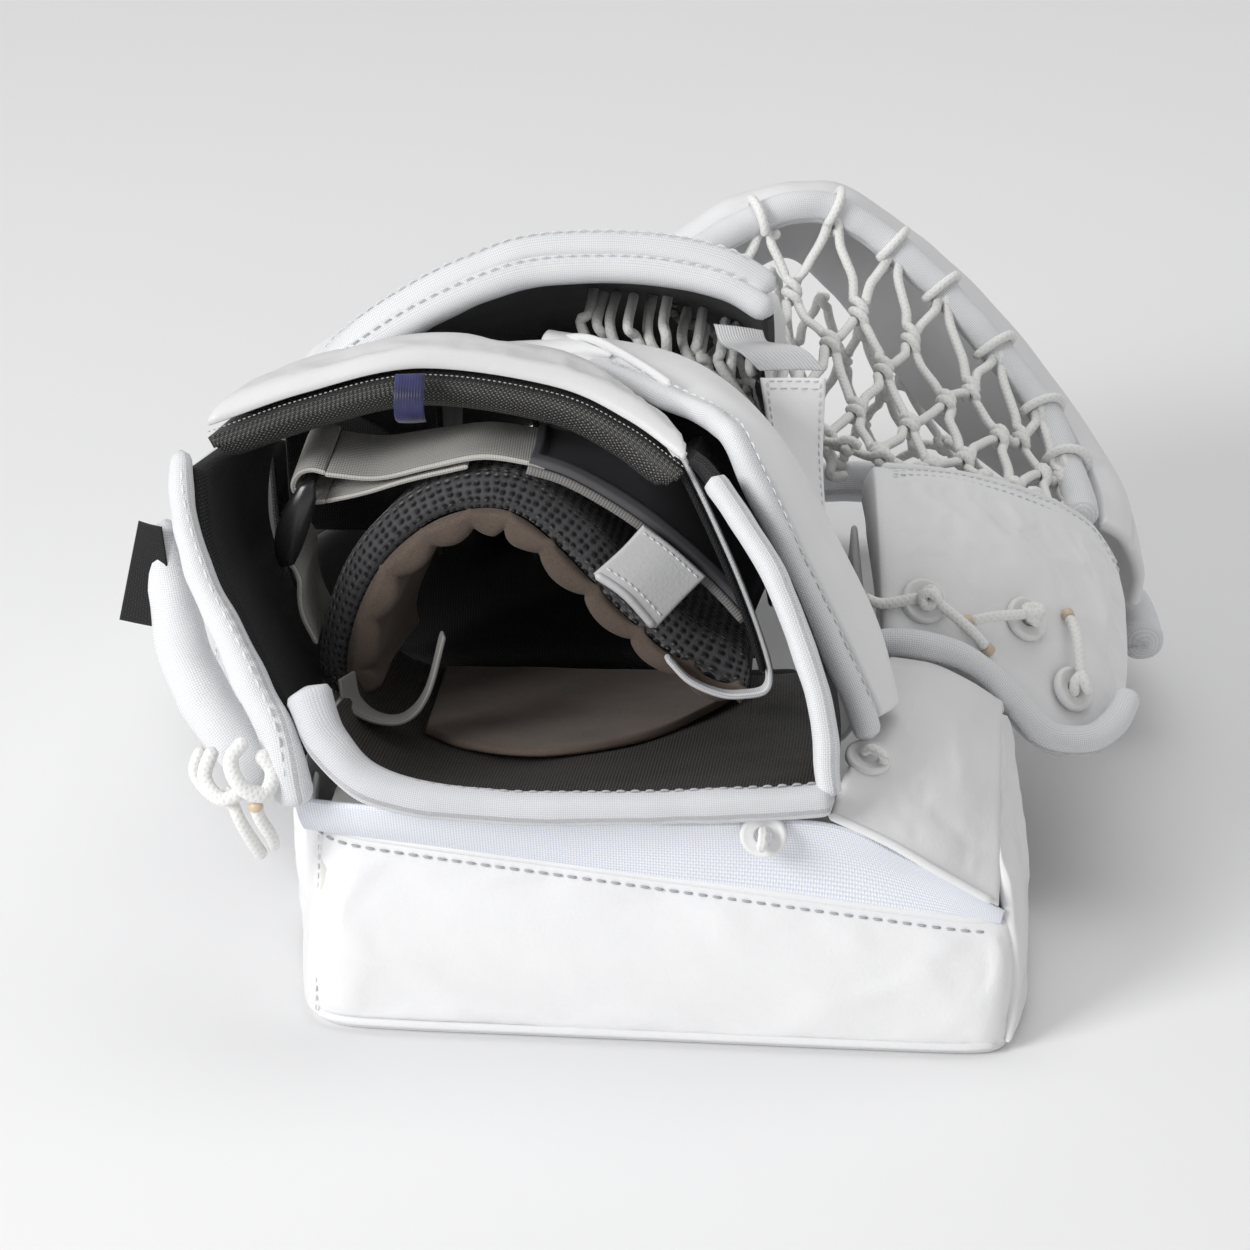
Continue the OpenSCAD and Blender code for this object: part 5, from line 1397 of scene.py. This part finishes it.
pocket(panel("web_band_leather", band_rows, 2.2, 2.2, (46, 150), MAT["band"], None, lumps=band_lumps),
       "white_leather", "web_band")
rim = [[-15, 206, 134], [4, 224, 141], [23, 234, 146], [41, 239, 141], [71, 234, 119], [102, 215, 90],
       [114, 190, 75],
       [118, 158, 75]]
pocket(sweep("web_rim_tube", rim, [0, -0.4, 1], 10.4, 10.4, MAT["tape"], None, step=1.8, sides=22, taper=4,
             wob=0.5, seed=157),
       "binding_white", "web_band_binding")
bar_path = [[2, 290, 20], [22, 298, 22], [48, 298, 24], [80, 280, 25], [110, 248, 26], [131, 208, 27],
            [139, 160, 31]]
pocket(sweep("web_mouth_tape", bar_path, [0, 0, 1], 14, 13, MAT["tape"], None, step=2.2, sides=24, power=2.3,
             taper=6, wob=0.5, seed=159),
       "binding_white", "web_crossbar")


def lace_net(rows, columns, steps, w, seed, start=0.0, end=1.0, twist=0.17, loose=0.16):
    """Netting of paired laces: 2 * columns strands run across the rows of a surface, from share start to share
    end. At each step two neighbours meet, twist once round each other and part again."""
    parts, e = [], 0.004
    for s in range(2 * columns):
        at, side_off, up_off = [], [], []
        for j in range(steps + 1):
            left = (s + j) % 2 == 1
            a = s + 1 if left else s
            sgn = -1.0 if left else 1.0
            du = loose * noise(A([[a * 3.7, j * 5.3, 1.0]]), 1.0, seed)[0]
            dv = loose * noise(A([[a * 3.7, j * 5.3, 9.0]]), 1.0, seed)[0]
            inner = 0 < j < steps
            zone = np.linspace(-twist if j else 0, twist if j < steps else 0, 13 if inner else 5)
            for z in zone:
                turn = 2 * np.pi * (z + twist) / (2 * twist)
                at.append((a + du, min(max(j + z + (dv if inner else 0), 0), steps)))
                side_off.append(sgn * math.cos(turn) * w * 0.62)
                up_off.append(sgn * math.sin(turn) * w * 0.60)
            if j < steps:
                nxt = s + 1 if (s + j + 1) % 2 == 1 else s
                for q in (0.25, 0.5, 0.75):
                    k = smooth(q, 0.0, 1.0)
                    at.append((a * (1 - k) + nxt * k, j + twist + (1 - 2 * twist) * q))
                    side_off.append(sgn * w * 0.62 * (1 - 2 * k))
                    up_off.append(0.5 * noise(A([[s * 2.1, j * 3.3, q]]), 1.0, seed + 2)[0] * w * 0.5)
        at = A(at)
        u = np.clip(start + (end - start) * at[:, 1] / steps, 0, 1)
        v = np.clip(at[:, 0] / (2 * columns), 0, 1)
        p, nrm = on_rows(rows, u, v)
        side = unit(on_rows(rows, u, np.clip(v + e, 0, 1))[0] - on_rows(rows, u, np.clip(v - e, 0, 1))[0])
        p = p + side * A(side_off)[:, None] + nrm * A(up_off)[:, None]
        parts.append(sweep_data(even(p, 1.3), nrm[0], w, w * 0.92, sides=9, taper=1.0, wob=0.10,
                                seed=seed + s))
    return parts


def tube_loops(path_pts, marks, r, w):
    """Rings of lace round a tube, beside each of the marked points."""
    path = even(path_pts, 1.5)
    t, s, up = frames(path, [0, -0.4, 1])
    ang = np.linspace(-0.2, 2 * math.pi - 0.2, 34)[:, None]
    parts = []
    for k, x in enumerate(marks):
        i = int(np.argmin(np.linalg.norm(path - x, axis=1)))
        ring = path[i] + (s[i] * np.cos(ang) + up[i] * np.sin(ang)) * (r + w * 0.45) + \
            t[i] * np.linspace(-2.2, 2.2, 34)[:, None]
        parts.append(sweep_data(ring, t[i], w, w * 0.92, sides=9, taper=0.8, wob=0.1, seed=300 + k))
    return parts


near_rows = [[[32, 118, 122], [40, 118, 117], [48, 120, 112], [58, 122, 107], [68, 126, 102], [78, 132, 97],
              [88, 140, 92],
              [98, 147, 86], [108, 152, 80]],
             [[6, 134, 116], [18, 136, 112], [32, 139, 108], [46, 141, 104], [63, 142, 99], [79, 146, 93],
              [95, 152, 88],
              [108, 153, 80], [117, 150, 73]],
             [[-2, 160, 118], [14, 163, 114], [30, 165, 110], [46, 165, 105], [64, 165, 100], [80, 163, 92],
              [96, 160, 84],
              [108, 158, 77], [116, 154, 71]],
             [[-5, 184, 120], [12, 188, 120], [29, 190, 118], [46.5, 190, 112], [64, 190, 103],
              [81.5, 189, 95], [98, 184, 85],
              [109, 176, 76], [116, 165, 70]],
             [[-14, 202, 120], [4, 212, 124], [24, 215, 122], [45, 215, 120], [62, 212, 110], [81, 205, 98],
              [98, 195, 84],
              [110, 185, 75], [116, 172, 70]],
             [[-15, 206, 134], [3, 223, 140], [24, 234.5, 146], [46, 239, 139], [63, 236.5, 126],
              [80, 230, 112.5],
              [97, 218, 95.5], [109, 203, 83.5], [115, 183, 75]]]
LACE = 3.2              # width of the net's lace
marks = curve_at(near_rows[-1], np.arange(3, 16, 2) / 16)
near_laces = lace_net(near_rows, 8, 5, LACE, 401) + tube_loops(rim, marks, 5.4, LACE)
pocket(joined("net_thumb_laces", near_laces, MAT["lace"], None), "lace_white", "net_thumb_side")
far_rows = [[[14, 284, 106], [34, 290, 92], [50, 290, 76], [74, 278, 50], [104, 252, 36]],
            [[10, 292, 66], [32, 296, 60], [52, 295, 50], [78, 281, 38], [106, 252, 31]],
            [[8, 292, 27], [30, 298, 29], [54, 296, 30], [80, 281, 31], [106, 252, 32]]]
pocket(joined("net_finger_laces", lace_net(far_rows, 5, 3, LACE, 421), MAT["lace"], None), "lace_white",
       "net_finger_side")

# Laces gathered between the hand and the net: loops that tie the net to the fingers and the palm
gather = []
rng = np.random.default_rng(7)
for k in range(15):
    x0 = -34 + 4.6 * k + rng.uniform(-2, 2)
    upper = A([x0, 128 + rng.uniform(-6, 6), 146 - 0.55 * max(0, x0 + 10) + rng.uniform(-3, 3)])
    lower = A([x0 + rng.uniform(6, 14), 122 + rng.uniform(-8, 8),
               128 - 0.62 * max(0, x0 + 10) + rng.uniform(-4, 4)])
    sag1 = (upper * 2 + lower) / 3 + rng.uniform(-5, 5, 3)
    sag2 = (upper + lower * 2) / 3 + rng.uniform(-5, 5, 3)
    route = [upper + A([0, 22, 2]), upper, sag1, sag2, lower, lower + A([4, 14, -6])]
    gather.append(sweep_data(even(route, 1.3), [0, -1, 0.5], LACE, LACE * 0.92, sides=9, taper=1.0, wob=0.12,
                             seed=441 + k))
joined("net_palm_laces", gather, MAT["lace"], "glove")


# ---- cores inside the block, and the stiffener sheet

panel("cuff_foam_core", [[[-94, -38, 8], [0, -38, 8], [94, -38, 8]],
                         [[-94, -34, 46], [0, -32, 46], [94, -31, 34]],
                         [[-94, 0, 52], [0, 0, 52], [94, 0, 42]], [[-94, 38, 36], [0, 38, 36], [94, 38, 32]],
                         [[-94, 38, 8], [0, 38, 8], [94, 38, 8]]], 0.6, 3.0, (24, 30), MAT["foam"], "glove",
      ("cuff_foam",))
panel("cuff_shoulder_core", [[[60, -24, 66], [76, -24, 58], [88, -24, 50]],
                             [[64, -6, 73], [76, -6, 68], [88, -6, 61]],
                             [[66, 18, 79], [78, 20, 76], [88, 20, 70]]], 0.5, 9.0, (12, 14), MAT["foam"],
      "glove",
      ("cuff_shoulder_foam",), edge=3)
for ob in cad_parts.values():      # what still shows is the stiffener
    if not ob.hide_render:
        ob.data.materials.clear()
        ob.data.materials.append(MAT["board"])

# Name, growth of the cloth, air pressure and the most that a point may move in mm
CUSHIONS = (("cuff_elbow_panel", 0.002, 2.0, 1.0), ("cuff_thumb_end", 0.006, 2.5, 2.0),
            ("cuff_pinky_end", 0.006, 2.5, 2.0),
            ("cuff_shoulder_panel", 0.005, 2.5, 1.8), ("finger_protector_shell", 0.010, 3.0, 2.5),
            ("thumb_pad_leather", 0.004, 2.5, 1.6), ("wrist_flap_top", 0.006, 2.5, 1.8),
            ("tunnel_pinky_pad", 0.008, 2.5, 1.5))


# ---- cloth run: air in the cushions, sewing holds the edges

def cushion(name, grow, pressure, cap, steps=16):
    """Blow a cushion up as cloth a little too large for its frame. No point moves more than cap mm."""
    ob = bpy.data.objects[name]
    group = ob.vertex_groups.new(name="sewn")
    for i, w in enumerate(HOLD[name]):
        if w > 0:
            group.add([i], float(w), "REPLACE")
    mod = ob.modifiers.new("cloth", "CLOTH")
    c = mod.settings
    c.quality = 5
    c.mass = 0.25
    c.tension_stiffness = c.compression_stiffness = 20
    c.shear_stiffness = 8
    c.bending_stiffness = 0.6
    c.use_pressure = True
    c.uniform_pressure_force = pressure
    c.vertex_group_mass = "sewn"
    c.shrink_min = -grow
    c.effector_weights.gravity = 0
    mod.collision_settings.use_collision = False
    for f in range(1, steps + 1):
        bpy.context.scene.frame_set(f)
    ev = ob.evaluated_get(bpy.context.evaluated_depsgraph_get())
    old = np.zeros(len(ob.data.vertices) * 3)
    new = old.copy()
    ob.data.vertices.foreach_get("co", old)
    ev.data.vertices.foreach_get("co", new)
    move = (new - old).reshape(-1, 3)
    size = np.linalg.norm(move, axis=1, keepdims=True)
    move = np.where(np.isfinite(move), move * np.minimum(1, cap * MM / np.maximum(size, 1e-9)), 0)
    ob.modifiers.remove(mod)
    ob.vertex_groups.remove(group)
    ob.data.vertices.foreach_set("co", (old.reshape(-1, 3) + move).ravel())
    ob.data.update()
    print("cloth", name, "moves", round(float(size.mean()) / MM, 2), "mm on average")


for name, grow, pressure, cap in CUSHIONS:
    cushion(name, grow, pressure, cap)
bpy.context.scene.frame_set(1)


# ---- floor, light and camera

def area(name, at, aim, size, power):
    """Rectangular lamp at one point that faces another."""
    la = bpy.data.lights.new(name, "AREA")
    la.shape = "RECTANGLE"
    la.size, la.size_y = size
    la.energy = power
    ob = bpy.data.objects.new(name, la)
    bpy.context.scene.collection.objects.link(ob)
    ob.location = at
    ob.rotation_euler = (Vector(aim) - Vector(at)).to_track_quat("-Z", "Y").to_euler()
    return ob


floor_mat = Nodes("floor_paper", (0.86, 0.86, 0.865), 0.75, spec=0.2)
floor_mat.color(floor_mat.tint(floor_mat.noise(240.0, 2.0), (0.985, 0.985, 0.985), WHITE))
floor_mat.bump(floor_mat.noise(1.2, 3.0), 0.02, 0.3)
floor_mesh = bpy.data.meshes.new("floor_sheet")
floor_mesh.from_pydata([(-4, -3, 0), (4, -3, 0), (4, 6, 0), (-4, 6, 0)], [], [(0, 1, 2, 3)])
floor_ob = bpy.data.objects.new("floor_sheet", floor_mesh)
floor_mesh.materials.append(floor_mat.mat)
bpy.context.scene.collection.objects.link(floor_ob)
key = area("light_key", (-1.25, -1.1, 0.95), (0, 0.02, 0.08), (0.8, 0.8), 27)
fill_light = area("light_fill", (1.1, -1.2, 0.7), (0, 0.05, 0.05), (1.2, 0.8), 1.5)
top_light = area("light_top", (0.1, 0.7, 1.7), (0, 0.1, 0.1), (1.6, 1.2), 9)
world = bpy.data.worlds.new("studio_world")
world.use_nodes = True
world.node_tree.nodes["Background"].inputs[0].default_value = (1.0, 1.0, 1.0, 1)
world.node_tree.nodes["Background"].inputs[1].default_value = 0.42
bpy.context.scene.world = world
bpy.context.scene.view_settings.view_transform = "Standard"

target = Vector((-0.01493, 0.04624, 0.08475))
cam_data = bpy.data.cameras.new("photo_camera")
cam_data.lens = 148
cam_data.sensor_width = 36
cam = bpy.data.objects.new("photo_camera", cam_data)
bpy.context.scene.collection.objects.link(cam)
cam.location = (0.1036, -1.3081, 0.7187)
cam.rotation_euler = (target - cam.location).to_track_quat("-Z", "Y").to_euler()
bpy.context.scene.camera = cam
